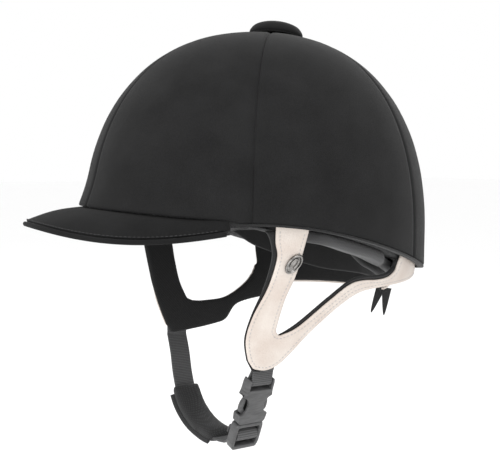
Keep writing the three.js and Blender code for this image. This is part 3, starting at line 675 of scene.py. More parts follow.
def rounded_box(low_x, high_x, low_y, high_y, radius, corner_steps=4):
    """A rectangle with round corners, as a ring of plane points."""
    ring = []
    corners = [(high_x - radius, high_y - radius, 0), (low_x + radius, high_y - radius, 90),
               (low_x + radius, low_y + radius, 180), (high_x - radius, low_y + radius, 270)]
    for x, y, start in corners:
        for turn in steps(start, start + 90, corner_steps):
            a = math.radians(turn)
            ring.append((x + radius * math.cos(a), y + radius * math.sin(a)))
    return ring


def rim_edge_section(angle):
    return rounded_box(0.1, SHELL_IN, rim_height(angle), rim_height(angle) + BINDING, 0.65)


def roll_section(angle):
    """The roll reaches out to the rim between the harness arms and steps in where they pass it."""
    puff = ROLL_PUFF * math.sin(math.radians(angle) * ROLL_PUFFS)
    turn = signed(angle)
    beside_arm = smoothstep(abs(turn), 50, 58) * (1 - smoothstep(abs(turn), 81, 86))
    behind = smoothstep(abs(turn), *((108, 115) if turn > 0 else (92, 98)))
    out = lerp(ROLL_OUT_FREE, ROLL_OUT, min(1, beside_arm + behind))
    reach = lerp(ROLL_REACH, ROLL_REACH_LEFT, smoothstep(turn, 18, 46) * (1 - smoothstep(turn, 60, 72)))
    low, high = rim_height(angle) - reach + puff, rim_height(angle) - GAP
    return rounded_box(out + 0.2 - puff, FOAM_IN - 0.2, low, high, 3.2, 5)


def brow_section(angle):
    puff = 0.5 * abs(math.sin(math.radians(angle) * 9))
    low = rim_height(angle) - BAND_LOW - BAND_DROP * smoothstep(abs(signed(angle)), 98, 114)
    return rounded_box(PAD_OUT + 0.2, PAD_IN + 0.4 + puff, low, rim_height(angle) + BAND_HIGH, 2.2, 4)


def build_bands():
    """The bound rim edge, the padded roll inside it and the head band."""
    crown_tube("rim_edge", rim_edge_section, black_cloth, ["rim_binding"])
    roll = crown_tube("rim_roll_padding", roll_section, grey_cloth, ["rim_roll"])
    head = crown_tube("brow_pad", brow_section, black_cloth, ["headband"])


def crown_rows(count, low, hole, depth, inward):
    """A grid over the crown, up to a hole's edge. Inward gives extra depth at a share and an angle."""
    angles = steps(0, 360, 96)[:-1]
    top = rise_near_button(hole, depth)
    return [[crown_point(a, lerp(rise_at(a, low(a), depth), top, share), depth + inward(share, a))
             for a in angles] for share in steps(0, 1, count)]


def build_foam():
    outer, inner = (crown_rows(28, rim_height, VELVET_HOLE, depth, lambda share, angle: 0)
                    for depth in (FOAM_OUT, FOAM_IN))
    make_piece("foam_liner", grid_slab(outer, inner, ring=True), foam, ["impact_liner"])


def build_crown_pad():
    """A round pad with three quilted rings in six parts."""
    def edge(share):
        return edge_profile(min(share, 1 - share) * CROWN_PAD_REACH, 2.2, 5)

    def plain(share, angle):
        return edge(share)

    def quilted(share, angle):
        quilt = abs(math.sin(share * math.pi * 3)) ** 0.6 * abs(math.sin(math.radians(angle) * 3)) ** 0.4
        return CROWN_PAD_QUILT * quilt - edge(share)

    outer, inner = (crown_rows(24, lambda angle: CROWN_PAD_LOW, CROWN_PAD_HOLE, depth, inward)
                    for depth, inward in ((PAD_OUT + GAP, plain), (PAD_IN, quilted)))
    shape = grid_slab(outer, inner, ring=True)
    cap = make_piece("crown_padding", shape, black_cloth, ["crown_pad"])


def button_matrix():
    place = crown_point(0, 1, 0) - Vector((0, 0, BUTTON_SINK))
    return Matrix.Translation(place) @ Matrix.Rotation(math.radians(-BUTTON_TILT), 4, "X")


def build_button():
    outline = [(18.9, 1), (20.1, 2.6), (19.5, 5), (16.8, 8), (11.5, 10.2), (5.5, 11.1), (0.01, 11.3)]
    hollow = [(0.01, 9.8), (5.3, 9.6), (11, 8.8), (15.8, 6.8), (18, 4.6), (18.4, 2.6), (17.6, 0.9)]
    shape = lathe(spline(hollow, 20) + spline(outline, 30), 64, button_matrix())
    make_piece("button_velvet", shape, velvet, ["button_cover"])
    seam = [(18.6 + 0.8 * c, 1.2 + 0.8 * s) for c, s in circle(8)]
    rings = [[button_matrix() @ Vector((radius * c, radius * s, z)) for radius, z in seam]
             for c, s in circle(64)]
    make_piece("button_seam", ring_sweep(rings, closed=True), velvet)


# ------------------------------------------------------------------ peak


def peak_edge_height(turn):
    return -PEAK_EDGE_LOW - PEAK_EDGE_DROP * math.sin(math.radians(1.636 * abs(turn))) ** 2


def peak_point(turn, out, level, inset):
    """A point of the peak at a turn of -90 to 90 along its edge, from its root (out 0) to its edge
    (out 1), and from its under face (level 0) to its top (level 1)."""
    along = math.radians(turn)
    angle = turn / 90 * PEAK_JOIN_ANGLE
    root_top = crown_point(angle, rise_at(angle, peak_join_height(turn), -GAP), -GAP)
    root_low = crown_point(angle, rise_at(angle, RIM_FRONT, -GAP), -GAP)
    x = (PEAK_HALF_WIDTH - inset) * math.sin(along)
    y = PEAK_SIDE_Y - (PEAK_LENGTH - inset) * math.cos(along)
    edge_low = Vector((x, y, peak_edge_height(turn)))
    edge_top = edge_low + Vector((0, 0, PEAK_EDGE_THICK))
    top = root_top.lerp(edge_top, out)
    low = root_low.lerp(edge_low, out)
    arch = Vector((0, 0, PEAK_ARCH * math.sin(math.pi * out) * math.cos(along)))
    return low.lerp(top, level) + arch


def peak_layer(name, high, high_offset, low, low_offset, material, node):
    turns = steps(-86, 86, 72)
    outs = [0, 0.01, 0.03] + steps(0.06, 0.94, 16) + [0.965, 0.985, 1]

    def face(level, offset):
        return [[peak_point(turn, out, level, COVER) + Vector((0, 0, offset)) for turn in turns]
                for out in outs]

    make_piece(name, grid_slab(face(high, high_offset), face(low, low_offset)), material, [node])


def build_peak():
    peak_layer("peak_cover", 1, 0, 1, -COVER, velvet_peak_painted_shade, "peak_top_velvet")
    peak_layer("peak_board", 1, -COVER - 0.2, 0, COVER + 0.2, black_cloth, "peak_core")
    peak_layer("peak_lining", 0, COVER, 0, 0, black_cloth, "peak_under_lining")
    rings = []
    turns = steps(-84, 84, 110)
    route = [peak_point(turn, 1, 0.3, -PIPING_RADIUS + 0.75) for turn in turns]
    for i, place in enumerate(route):
        along = (route[min(i + 1, len(route) - 1)] - route[max(i - 1, 0)]).normalized()
        side = along.cross(Vector((0, 0, 1))).normalized()
        up = side.cross(along)
        radius = PIPING_RADIUS + 0.08
        rings.append(ellipse(place, side * radius, up * (radius * 1.25), 12))
    make_piece("peak_edge_cord", ring_sweep(rings), velvet_piping_painted_shade, ["peak_piping"])
    add_stitches("peak_stitching", [peak_point(turn, 0.975, 1, 0) for turn in steps(-82, 82, 300)],
                 Vector((0, 0, 1)), PEAK_STITCH, dark_thread)


# ------------------------------------------------------------------ stitching


def add_stitches(name, route, outward, size, material):
    """A row of stitches along a line, their size a pitch, a length and a thread radius. Outward is one
    direction, or one for each point."""
    pitch, length, radius = size
    places = even([tuple(p) for p in route], pitch)
    stitches = []
    for i in range(1, len(places) - 1):
        along = (Vector(places[i + 1]) - Vector(places[i - 1])).normalized()
        out = outward(Vector(places[i])) if callable(outward) else outward
        across = along.cross(out).normalized()
        out = across.cross(along).normalized()
        rings = []
        for share in steps(-1, 1, 6):
            half = radius * math.sqrt(max(0.02, 1 - share ** 4))
            sink = 0.45 * radius * share * share
            middle = Vector(places[i]) + along * (share * length / 2) + out * (0.25 * radius - sink)
            rings.append(ellipse(middle, across * half, out * half, 6))
        stitches.append(ring_sweep(rings))
    make_piece(name, joined(stitches), material)


# ------------------------------------------------------------------ harness


def harness_sizes(angle_rim, z, inset):
    """Half width, middle, front and rear reach of the harness at a height, and how far it has blended
    from the rim's round outline to its own squarer one."""
    below = max(0.0, angle_rim - z)
    share = min(1.0, below / HARNESS_BLEND)
    half_width = HARNESS_HALF_WIDTH - HARNESS_TAPER * below + HARNESS_CURVE * below ** 2 - inset
    middle = HARNESS_SHIFT * share
    ahead = HARNESS_HALF_LENGTH + HARNESS_AHEAD * share - inset
    behind = HARNESS_HALF_LENGTH - HARNESS_REAR_TAPER * below - middle - inset
    return half_width, middle, ahead, behind, share


def harness_point(angle, z, inset):
    """A point of the left half's outer face at a ring angle and a height, or an inset behind it."""
    half_width, middle, ahead, behind, share = harness_sizes(rim_height(angle), z, inset)
    along = math.radians(angle)
    forward = math.cos(along) > 0
    power = 2 / (2 + share) if forward else 1
    x = half_width * abs(math.sin(along)) ** power
    y = middle - (ahead if forward else behind) * abs(math.cos(along)) ** power * (1 if forward else -1)
    return Vector((x, y, z))


def angle_at(y, z, inset):
    """The ring angle where the harness surface is at y."""
    low, high = 20.0, 179.0
    for _ in range(26):
        middle = (low + high) / 2
        if harness_point(middle, z, inset).y < y:
            low = middle
        else:
            high = middle
    return low


def distance_to_line(place, line):
    best = 1e9
    px, py = place
    for (ax, ay), (bx, by) in zip(line, line[1:] + line[:1]):
        dx, dy = bx - ax, by - ay
        length = dx * dx + dy * dy
        t = 0 if length == 0 else min(1, max(0, ((px - ax) * dx + (py - ay) * dy) / length))
        best = min(best, math.hypot(px - ax - t * dx, py - ay - t * dy))
    return best


def is_inside(place, line):
    px, py = place
    inside = False
    for (ax, ay), (bx, by) in zip(line, line[1:] + line[:1]):
        if (ay > py) != (by > py) and px < (bx - ax) * (py - ay) / (by - ay) + ax:
            inside = not inside
    return inside


def offset_line(line, distance):
    """Points a distance inside a closed line, where they are really that far inside it."""
    result = []
    count = len(line)
    for i in range(count):
        (ax, ay), (bx, by) = line[i - 1], line[(i + 1) % count]
        dx, dy = bx - ax, by - ay
        length = math.hypot(dx, dy) or 1
        for sign in (1, -1):
            x, y = line[i][0] - sign * dy / length * distance, line[i][1] + sign * dx / length * distance
            if is_inside((x, y), line) and distance_to_line((x, y), line) > distance * 0.9:
                result.append((x, y))
                break
    return result


def patch_places(line, boundary, spacing, rings):
    """Places inside an outline: close rows along it and an even grid beyond the last row."""
    inside = []
    for distance in rings:
        for place in offset_line(boundary, distance):
            if all(math.dist(place, other) > 0.7 * min(distance, 1.0) for other in inside[-3:]):
                inside.append(place)
    low_x, high_x = min(p[0] for p in line), max(p[0] for p in line)
    low_y, high_y = min(p[1] for p in line), max(p[1] for p in line)
    clear = rings[-1] + 0.6 * spacing
    for i, x in enumerate(steps(low_x, high_x, max(2, round((high_x - low_x) / spacing)))):
        for y in steps(low_y + (i % 2) * spacing / 2, high_y, max(2, round((high_y - low_y) / spacing))):
            if is_inside((x, y), boundary) and distance_to_line((x, y), boundary) > clear:
                inside.append((x, y))
    return inside


def patch(line, outer_depth, inner_depth, spacing, rings):
    """Points and faces of a sheet with thickness on the harness surface, from its closed outline. The
    depths are functions of a point's place and its distance from the outline."""
    boundary = even(line + line[:1], 1.5)[:-1]
    count = len(boundary)
    everything = [Vector(p) for p in boundary + patch_places(line, boundary, spacing, rings)]
    edges = [(i, (i + 1) % count) for i in range(count)]
    verts, _, triangles, _, _, _ = delaunay_2d_cdt(everything, edges, [list(range(count))], 1, 1e-5)
    flat = [(v.x, v.y) for v in verts]
    far = [distance_to_line(p, boundary) for p in flat]
    outer = [harness_surface(p, outer_depth(p, d)) for p, d in zip(flat, far)]
    inner = [harness_surface(p, inner_depth(p, d)) for p, d in zip(flat, far)]
    below = len(flat)
    faces = [tuple(t) for t in triangles] + [tuple(v + below for v in reversed(t)) for t in triangles]
    sides = [pair for t in triangles for pair in zip(t, list(t[1:]) + [t[0]])]
    inward = set(sides)
    for a, b in dict.fromkeys(sides):
        if (b, a) not in inward:
            faces.append((b, a, a + below, b + below))
    return outer + inner, faces


def harness_surface(place, inset):
    """The point of the harness at a place given as (distance round it, height)."""
    return harness_point(place[0] / DEGREE, place[1], inset)


def lining_show(z):
    """How far the lining shows in front of the front arm at a height."""
    return lerp(1.3, 3.2, smoothstep(z, -65, -30))


def nape_edges(name, lining, low_start, top_start):
    """Lower and upper edge of the nape drape, as (distance, height) points from front to back."""
    drape = DRAPES[name]

    def low(angle):
        height = lerp(drape["low"], DRAPE_LOW_BACK, smoothstep(angle, *drape["drop"]))
        return height + 1.8 * smoothstep(angle, low_start, low_start + 8) if lining else height

    def top(angle):
        height = lerp(drape["start"], rim_height(angle) + TUCK, smoothstep(angle, *drape["rise"]))
        return min(height + LINING_SHOW[name], rim_height(angle) + LINING_TOP) if lining else height

    return [[(angle * DEGREE, height(angle)) for angle in steps(start, DRAPE_END, 70)[1:]]
            for start, height in ((low_start, low), (top_start, top))]


def harness_line(name, lining):
    """Outline of one half of the harness: front arm, foot, rear arm and the drape up to the lacing."""
    yoke = YOKES[name]
    front, back, upper, bottom = yoke["front"], yoke["back"], yoke["upper"], yoke["bottom"]
    if lining:
        front = [(y - lining_show(z), min(z, LINING_TOP)) for y, z in front]
        back = [(y, min(z, LINING_TOP)) for y, z in back]
        upper = [(y, z + LINING_SHOW[name]) for y, z in upper[:-1]] + upper[-1:]
        bottom = [(y - 0.6, z - 2.2 * (1 - smoothstep(y, -46, -22))) for y, z in bottom]
    edges = [[(angle_at(y, z, 0) * DEGREE, z) for y, z in spline(edge, 40)]
             for edge in (front, bottom, upper, back)]
    low, top = nape_edges(name, lining, edges[1][-1][0] / DEGREE, edges[2][0][0] / DEGREE)
    line = []
    for place in edges[0] + edges[1] + low + top[::-1] + edges[2] + edges[3]:
        if not line or math.dist(place, line[-1]) > 0.4:
            line.append(place)
    return line


def on_side(points, side):
    """Points made for the rider's left, mirrored where side is -1."""
    return [Vector((side * p[0], p[1], p[2])) for p in points]


def build_lining(name, side, cover):
    """Padded lining: it stands proud of the leather's inner face where it shows beyond the leather."""
    def outer_depth(place, distance):
        beyond = 0.0 if is_inside(place, cover) else distance_to_line(place, cover)
        return LEATHER + 0.25 - 1.7 * smoothstep(beyond, 0.3, 1.8) + edge_profile(distance, 1.6, 1.8)

    def inner_depth(place, distance):
        pillow = 0.5 * smoothstep(distance, 1, 7) * (0.6 + 0.4 * noise.noise(Vector((*place, 0)) * 0.12))
        return LINING_IN + pillow - 0.4 - edge_profile(distance, 1.5, 2.2)

    points, faces = patch(harness_line(name, True), outer_depth, inner_depth, 3.4, PADDED_ROWS)
    piece = make_piece(f"harness_padding_{name}", (on_side(points, side), faces), black_cloth,
                       [f"yoke_lining_{name}", f"nape_lining_{name}"])


def build_hide(name, side, line):
    points, faces = patch(line, lambda place, distance: edge_profile(distance, 0.7, 1.1),
                          lambda place, distance: LEATHER - edge_profile(distance, 0.5, 0.9),
                          3.2, SEWN_ROWS)
    make_piece(f"harness_hide_{name}", (on_side(points, side), faces), pale_leather,
               [f"yoke_leather_{name}", f"nape_leather_{name}"])


def stitch_line(line, side):
    """A sewing line a little inside an outline, on the outer face, where it shows below the rim."""
    inner = offset_line(even(line + line[:1], 1.0)[:-1], STITCH_INSET)
    shown = [harness_surface(place, 0) for place in inner if place[1] < rim_height(place[0] / DEGREE) - 1]
    return on_side(shown, side)


def split_runs(points, most):
    """Stretches of a line without a jump longer than most."""
    runs = [[points[0]]]
    for before, after in zip(points, points[1:]):
        if math.dist(before, after) > most:
            runs.append([])
        runs[-1].append(after)
    return [run for run in runs if len(run) > 4]


def outward(place):
    """Roughly the way the harness faces at a place."""
    return Vector((place.x, place.y * (0.8 if place.y > 0 else 0.25), 0)).normalized()


def build_harness():
    for name, side in SIDES:
        line = harness_line(name, False)
        build_hide(name, side, line)
        build_lining(name, side, line)
        for i, run in enumerate(split_runs(stitch_line(line, side), 6)):
            add_stitches(f"harness_stitching_{name}_{i}", run, outward, HARNESS_STITCH, pale_thread)


def harness_frame(angle, z, side):
    """A frame on the harness with X round it, Y up and Z outwards."""
    base = harness_point(angle, z, 0)
    across = (harness_point(angle + 1, z, 0) - base).normalized()
    rise = (harness_point(angle, z + 1, 0) - base).normalized()
    out = across.cross(rise).normalized()
    up = out.cross(across)
    matrix = Matrix.Translation(base) @ Matrix((across, up, out)).transposed().to_4x4()
    return Matrix.Scale(-1, 4, (1, 0, 0)) @ matrix if side < 0 else matrix


def horseshoe(stud):
    """A plain raised horseshoe on the stud's sunk face."""
    rings = []
    for a in steps(-50, 230, 26):
        turn = math.radians(a)
        centre = Vector((3.3 * math.cos(turn), 0.4 + 3.5 * math.sin(turn), 1.6))
        radial = Vector((math.cos(turn), math.sin(turn), 0))
        rings.append([stud @ point for point in ellipse(centre, radial * 0.85, Vector((0, 0, 0.75)), 8)])
    return ring_sweep(rings)


def build_hardware():
    badge = spline([(0.01, 1.3), (3, 1.25), (5.0, 1.15), (5.6, 1.3), (6.1, 2.1),
                    (6.6, 2.4), (7.3, 2.1), (7.6, 1.3), (7.3, 0.5)], 44)
    shank = [(1.2, 0.4), (1.2, -6.4), (0.01, -6.4)]
    ring = spline([(1.9, -0.2), (1.9, 0.8), (2.4, 1.15), (3.1, 1.05), (3.6, 0.6), (3.6, 0.25)], 18)
    barrel = [(2.35, 0.2), (2.35, -LINING_IN), (1.75, -LINING_IN), (1.75, -0.2)]
    oval = Matrix.Rotation(math.radians(-BADGE_LEAN), 4, "Z") @ Matrix.Diagonal((BADGE_NARROW, 1, 1, 1))
    for name, side in SIDES:
        stud = harness_frame(BADGE_ANGLES[name], BADGE_Z, side) @ oval
        make_piece(f"stud_{name}", lathe(badge + shank, 56, stud), nickel, [f"badge_{name}"])
        make_piece(f"stud_motif_{name}", horseshoe(stud), nickel)
        for i, z in enumerate(EYELET_HEIGHTS, 1):
            here = harness_frame(EYELET_ANGLE, z, side)
            rings = [[here @ Vector((r * c, r * s, h)) for c, s in circle(28)] for r, h in ring + barrel]
            make_piece(f"eyelet_{name}_{i}", ring_sweep(rings, closed=True), nickel,
                       [f"nape_eyelet_{name}_{i}"])


# ------------------------------------------------------------------ strap and buckle


def strap_matrix():
    """The strap's plane: X to the rider's left, Y up, Z to the front, from the strap's root."""
    sideways, backwards = math.sin(SIDE_LEAN), math.sin(FRONT_LEAN)
    up = Vector((sideways, backwards, math.sqrt(1 - sideways ** 2 - backwards ** 2)))
    front = Vector((math.cos(STRAP_YAW), math.sin(STRAP_YAW), 0)).cross(up).normalized()
    left = up.cross(front)
    return Matrix.Translation(STRAP_PIVOT) @ Matrix((left, up, front)).transposed().to_4x4()


STRAP = strap_matrix()
BUCKLE = STRAP @ Matrix.Translation((BUCKLE_X, BUCKLE_Y, 0))


def beside_path(place, along, out, across):
    """A point a distance outwards and across from a place on a path in the strap's plane."""
    return STRAP @ Vector((place[0] - along[1] * out, place[1] + along[0] * out, across))


def arc(x, y, radius, start, end, count):
    return [(x + radius * math.cos(math.radians(a)), y + radius * math.sin(math.radians(a)))
            for a in steps(start, end, count)]


def strap_section(place, along):
    """A ring of points round a strap's section: flat faces with rounded selvedges."""
    width, thickness = STRAP_WIDTH / 2, WEBBING / 2
    return [beside_path(place, along, out, across)
            for across, out in rounded_box(-width, width, -thickness, thickness, WEBBING * 0.49, 3)]


def sweep_strap(name, path, nodes, body, ridden=True):
    path = even(path, 1.0)
    sections = []
    for i, place in enumerate(path):
        before, after = path[max(0, i - 1)], path[min(len(path) - 1, i + 1)]
        length = math.dist(before, after)
        along = ((after[0] - before[0]) / length, (after[1] - before[1]) / length)
        sections.append(strap_section(place, along))
    piece = make_piece(name, ring_sweep(sections), webbing, nodes, body, ridden)
    write_strap_map(piece, path)
    return piece


def write_strap_map(piece, path):
    """A map with the strap's length along U and its width along V, in centimetres."""
    lengths = [0.0]
    for a, b in zip(path, path[1:]):
        lengths.append(lengths[-1] + math.dist(a, b))
    inverse = STRAP.inverted()
    layer = piece.data.uv_layers.new(name="strap")
    nearest = []
    for vertex in piece.data.vertices:
        place = inverse @ (vertex.co / MM)
        spot = min(range(len(path)), key=lambda k: math.dist(path[k], (place.x, place.y)))
        nearest.append((lengths[spot] / 10, place.z / 10))
    for loop in piece.data.loops:
        layer.data[loop.index].uv = nearest[loop.vertex_index]


def chin_path():
    """The strap's route: out of the right yoke, under the chin, round the ladder bar and back behind it."""
    root = [(-6.8, 12.1), (-4.5, 8), (-2.2, 4), (-0.8, 1.2)]
    beside_in = [(-8.8, -21.8), (-6, -18.2), (-4.4, -16), (-2.2, -14.6)]
    beside_out = [(-2.4, -6.4), (-5.4, -5.9), (-7.4, -7.2), (-8.2, -10), (-8.4, -13)]
    turn = beside_in + arc(0, LADDER_Y, 3.4, -70, 90, 14) + beside_out
    return root + spline(CHIN_CURVE, 60) + [(BUCKLE_X + x, BUCKLE_Y + y) for x, y in turn]


def build_straps():
    chin = sweep_strap("chin_webbing", chin_path(), ["chin_strap", "strap_tab_right"], "strap", False)
    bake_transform(chin)
    leg = 0.98
    loop = ([(-leg, LOOP_HIGH), (-leg, LOOP_BAR_Y + 7.5)] + arc(0, LOOP_BAR_Y, 2.6, 150, 390, 20)
            + [(leg, LOOP_BAR_Y + 7.5), (leg, LOOP_HIGH)])
    path = [(BUCKLE_X + x, BUCKLE_Y + y) for x, y in loop]
    sweep_strap("buckle_webbing", path, ["strap_loop_left"], "helmet")


def curve_point(share):
    """The place at a share of the chin curve's length, and the curve's direction there."""
    dense = even(spline(CHIN_CURVE, 120), 0.5)
    i = min(len(dense) - 2, int(share * (len(dense) - 1)))
    a, b = dense[i], dense[i + 1]
    length = math.dist(a, b)
    return a, ((b[0] - a[0]) / length, (b[1] - a[1]) / length)


def pad_mesh(thickness, width, end_reach):
    """Rings of a pillow-shaped sleeve along the chin curve, with rounded ends."""
    sections = []
    for share in steps(0, 1, 44):
        place, along = curve_point(lerp(PAD_START, PAD_END, share))
        from_end = min(share, 1 - share) * PAD_LENGTH
        end = 1 - edge_profile(from_end, 1, end_reach) * 0.75
        ring = []
        for c, s in circle(32):
            across = width / 2 * abs(c) ** 0.65 * math.copysign(1, c) * (0.85 + 0.15 * end)
            out = PAD_SHIFT + thickness / 2 * abs(s) ** 0.8 * math.copysign(1, s) * end
            ring.append(beside_path(place, along, out, across))
        sections.append(ring)
    return ring_sweep(sections)


def inflate(piece, voxel, pressure, cap):
    """Remeshes a soft piece and lets cloth pressure swell it, with no point moving further than cap."""
    bpy.context.view_layer.objects.active = piece
    remesh = piece.modifiers.new("even_faces", "REMESH")
    remesh.mode = "VOXEL"
    remesh.voxel_size = voxel
    bpy.ops.object.modifier_apply(modifier=remesh.name)
    rest = [vertex.co.copy() for vertex in piece.data.vertices]
    cloth = piece.modifiers.new("cloth", "CLOTH")
    cloth.settings.use_pressure = True
    cloth.settings.uniform_pressure_force = pressure
    cloth.settings.effector_weights.gravity = 0
    cloth.settings.tension_stiffness = 30
    cloth.point_cache.frame_start = 1
    cloth.point_cache.frame_end = CLOTH_FRAMES
    for step in range(1, CLOTH_FRAMES + 1):
        bpy.context.scene.frame_set(step)
    bpy.ops.object.modifier_apply(modifier=cloth.name)
    for vertex, start in zip(piece.data.vertices, rest):
        move = vertex.co - start
        if move.length > cap:
            vertex.co = start + move.normalized() * cap
    bpy.context.scene.frame_set(1)
    rounder = piece.modifiers.new("rounder", "SUBSURF")
    rounder.levels = 1
    rounder.render_levels = 1
    bpy.ops.object.modifier_apply(modifier=rounder.name)
    for polygon in piece.data.polygons:
        polygon.use_smooth = True


def build_chin_pad():
    shape = pad_mesh(PAD_THICK, PAD_WIDTH, PAD_ROUND)
    pad = make_piece("chin_padding", shape, pad_cloth, ["chin_pad"], "strap", False)
    inflate(pad, PAD_VOXEL, PAD_PRESSURE, PAD_SWELL)
    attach(pad, "strap")
    build_pad_welt()


def build_pad_welt():
    """A flat sewn welt along the sleeve's near lower edge."""
    rings = []
    for share in steps(PAD_START + 0.06, PAD_END - 0.02, 70):
        place, along = curve_point(share)
        middle = beside_path(place, along, -1.9, 12)
        ahead = STRAP.to_3x3() @ Vector((along[0], along[1], 0))
        out = (STRAP.to_3x3() @ Vector((along[1], -along[0], 0.9))).normalized()
        side = ahead.cross(out).normalized()
        rings.append(ellipse(middle, out * 1.7, side * 0.7, 12))
    make_piece("chin_padding_welt", ring_sweep(rings), pad_cloth, body="strap")


def plate(outline, holes, thickness, bevel, offset=0.0):
    """A bevelled plate in the buckle's frame, from plane outlines given as (front, up) points."""
    curve = bpy.data.curves.new("plate", "CURVE")
    curve.dimensions = "2D"
    curve.fill_mode = "BOTH"
    curve.extrude = max(0.01, thickness / 2 - bevel)
    curve.bevel_depth = bevel
    curve.bevel_resolution = 3
    curve.offset = -bevel
    for line in [outline] + holes:
        path = curve.splines.new("POLY")
        path.points.add(len(line) - 1)
        for point, (x, y) in zip(path.points, line):
            point.co = (x, y, 0, 1)
        path.use_cyclic_u = True
    holder = bpy.data.objects.new("plate", curve)
    bpy.context.collection.objects.link(holder)
    bpy.context.view_layer.update()
    mesh = bpy.data.meshes.new_from_object(holder.evaluated_get(bpy.context.evaluated_depsgraph_get()))
    points = [BUCKLE @ Vector((offset - v.co.z, v.co.y, v.co.x)) for v in mesh.vertices]
    faces = [tuple(polygon.vertices) for polygon in mesh.polygons]
    bpy.data.objects.remove(holder)
    bpy.data.curves.remove(curve)
    bpy.data.meshes.remove(mesh)
    return points, faces


def round_corners(line, radius, count=4):
    """A closed line with its corners rounded."""
    result = []
    total = len(line)
    for i in range(total):
        corner = Vector(line[i])
        before = Vector(line[i - 1]) - corner
        after = Vector(line[(i + 1) % total]) - corner
        reach = min(radius, before.length * 0.45, after.length * 0.45)
        start, end = corner + before.normalized() * reach, corner + after.normalized() * reach
        for t in steps(0, 1, count):
            point = start.lerp(corner, t).lerp(corner.lerp(end, t), t)
            result.append((point.x, point.y))
    return result


def both_sides(half):
    """A closed outline from its half on the positive side."""
    return half + [(-x, y) for x, y in half[::-1]]


def bar(y):
    """A round bar across the buckle, for webbing to pass round."""
    return ring_sweep([[BUCKLE @ Vector((BAR_RADIUS * c, y + BAR_RADIUS * s, z)) for c, s in circle(20)]
                       for z in (-BAR_HALF, BAR_HALF)])


def build_buckle():
    build_socket()
    build_plug()
    build_prongs()


def build_socket():
    """Two faces with a notch at each side, the collar and cheeks above them, mouth walls and the bar."""
    notch = [(12, 21), (9.6, 19.9), (7.6, 17.4), (6.9, 14), (7.4, 10.6), (9.2, 8.1), (12, 7.1)]
    face = round_corners(both_sides([(11.2, 26.2), (11.4, 24), (12, 21.8)] + notch
                                    + [(12, 5.4), (11.5, 1.6), (10.4, 0)]), 1.1)
    parts = [plate(face, [], 2.2, 0.5, side * 2.85) for side in (1, -1)]
    collar = round_corners(both_sides([(10.9, 26), (11.1, 24.4), (11.6, 22)]), 0.4)
    parts.append(plate(collar, [], 4.4, 0.2))
    for sign in (1, -1):
        cheek = [(SLOT_HALF, 24.6), (11.3, 24.6), (11.1, 31.4), (10.4, SOCKET_TOP), (SLOT_HALF, SOCKET_TOP)]
        wall = [(9.8, 0.2), (10.9, 0.4), (11.5, 2), (11.8, 6.9), (9.8, 6.9)]
        for line, radius, thickness, bevel in ((cheek, 0.8, 7.9, 0.5), (wall, 0.4, 4.4, 0.2)):
            line = [(sign * x, y) for x, y in line]
            parts.append(plate(round_corners(line, radius), [], thickness, bevel))
    moulding("socket_moulding", joined(parts + [bar(LOOP_BAR_Y)]), "buckle_socket", "helmet")


def build_plug():
    outline = both_sides([(11, -GAP), (11.9, -3.3), (11.9, PLUG_BOTTOM + 4), (10.2, PLUG_BOTTOM)])
    half, low, high = SLOT_HALF - 0.1, PLUG_BOTTOM + 2.8, -3.4
    window = round_corners([(half, low), (half, high), (-half, high), (-half, low)], 1.4)
    tongue = round_corners([(2, -1.3), (2, 18.5), (1, 19.5), (-1, 19.5), (-2, 18.5), (-2, -1.3)], 0.5)
    frame_plate = plate(round_corners(outline, 1.6), [window], 7.2, 0.9)
    parts = [frame_plate, bar(LADDER_Y), plate(tongue, [], 3.2, 0.4)]
    moulding("plug_moulding", joined(parts), "buckle_plug", "strap")


def build_prongs():
    """Two springy prongs whose rounded shoulders fill the socket's notches."""
    shoulder = spline([(10.2, 7.9), (11.5, 9.4), (11.9, 12.4), (11.4, 15.8), (10.2, 18.4), (9, 19.6)], 16)
    ear = [(6.2, GAP), (8.8, GAP), (9.0, 7.6)] + shoulder + [(8.4, 17), (9.2, 12), (6.4, 8.4)]
    for name, side in (("front", 1), ("rear", -1)):
        line = [(side * x, y) for x, y in ear]
        shape = plate(round_corners(line[::side], 0.5), [], 3.4, 0.7)
        moulding(f"prong_moulding_{name}", shape, f"buckle_prong_{name}", f"prong_{name}")


def moulding(name, shape, node, body):
    """A moulded piece of the buckle. Its flat faces stay flat: sharp edges are shaded sharp."""
    piece = make_piece(name, shape, buckle_plastic, [node], body)
    bpy.context.view_layer.objects.active = piece
    for other in bpy.context.selected_objects:
        other.select_set(False)
    piece.select_set(True)
    bpy.ops.object.shade_smooth_by_angle(angle=math.radians(35))


# ------------------------------------------------------------------ bow, lace and tab


def flat_cord(route, width, thick, outward):
    """Rings of a flat lace along 3-D points."""
    rings = []
    for i, place in enumerate(route):
        along = (route[min(i + 1, len(route) - 1)] - route[max(i - 1, 0)]).normalized()
        across = along.cross(outward).normalized()
        out = across.cross(along)
        share = i / (len(route) - 1)
        half = (width(share) if callable(width) else width) / 2
        rings.append(ellipse(place, across * half, out * (thick / 2), 14))
    return ring_sweep(rings)


def tail_width(share):
    """A lace end hangs folded flat and narrows to a point."""
    return 0.8 + 7.6 * (1 - share) ** 0.7


def rear(z):
    """How far back the harness surface lies at its middle."""
    return harness_point(180, z, 0).y


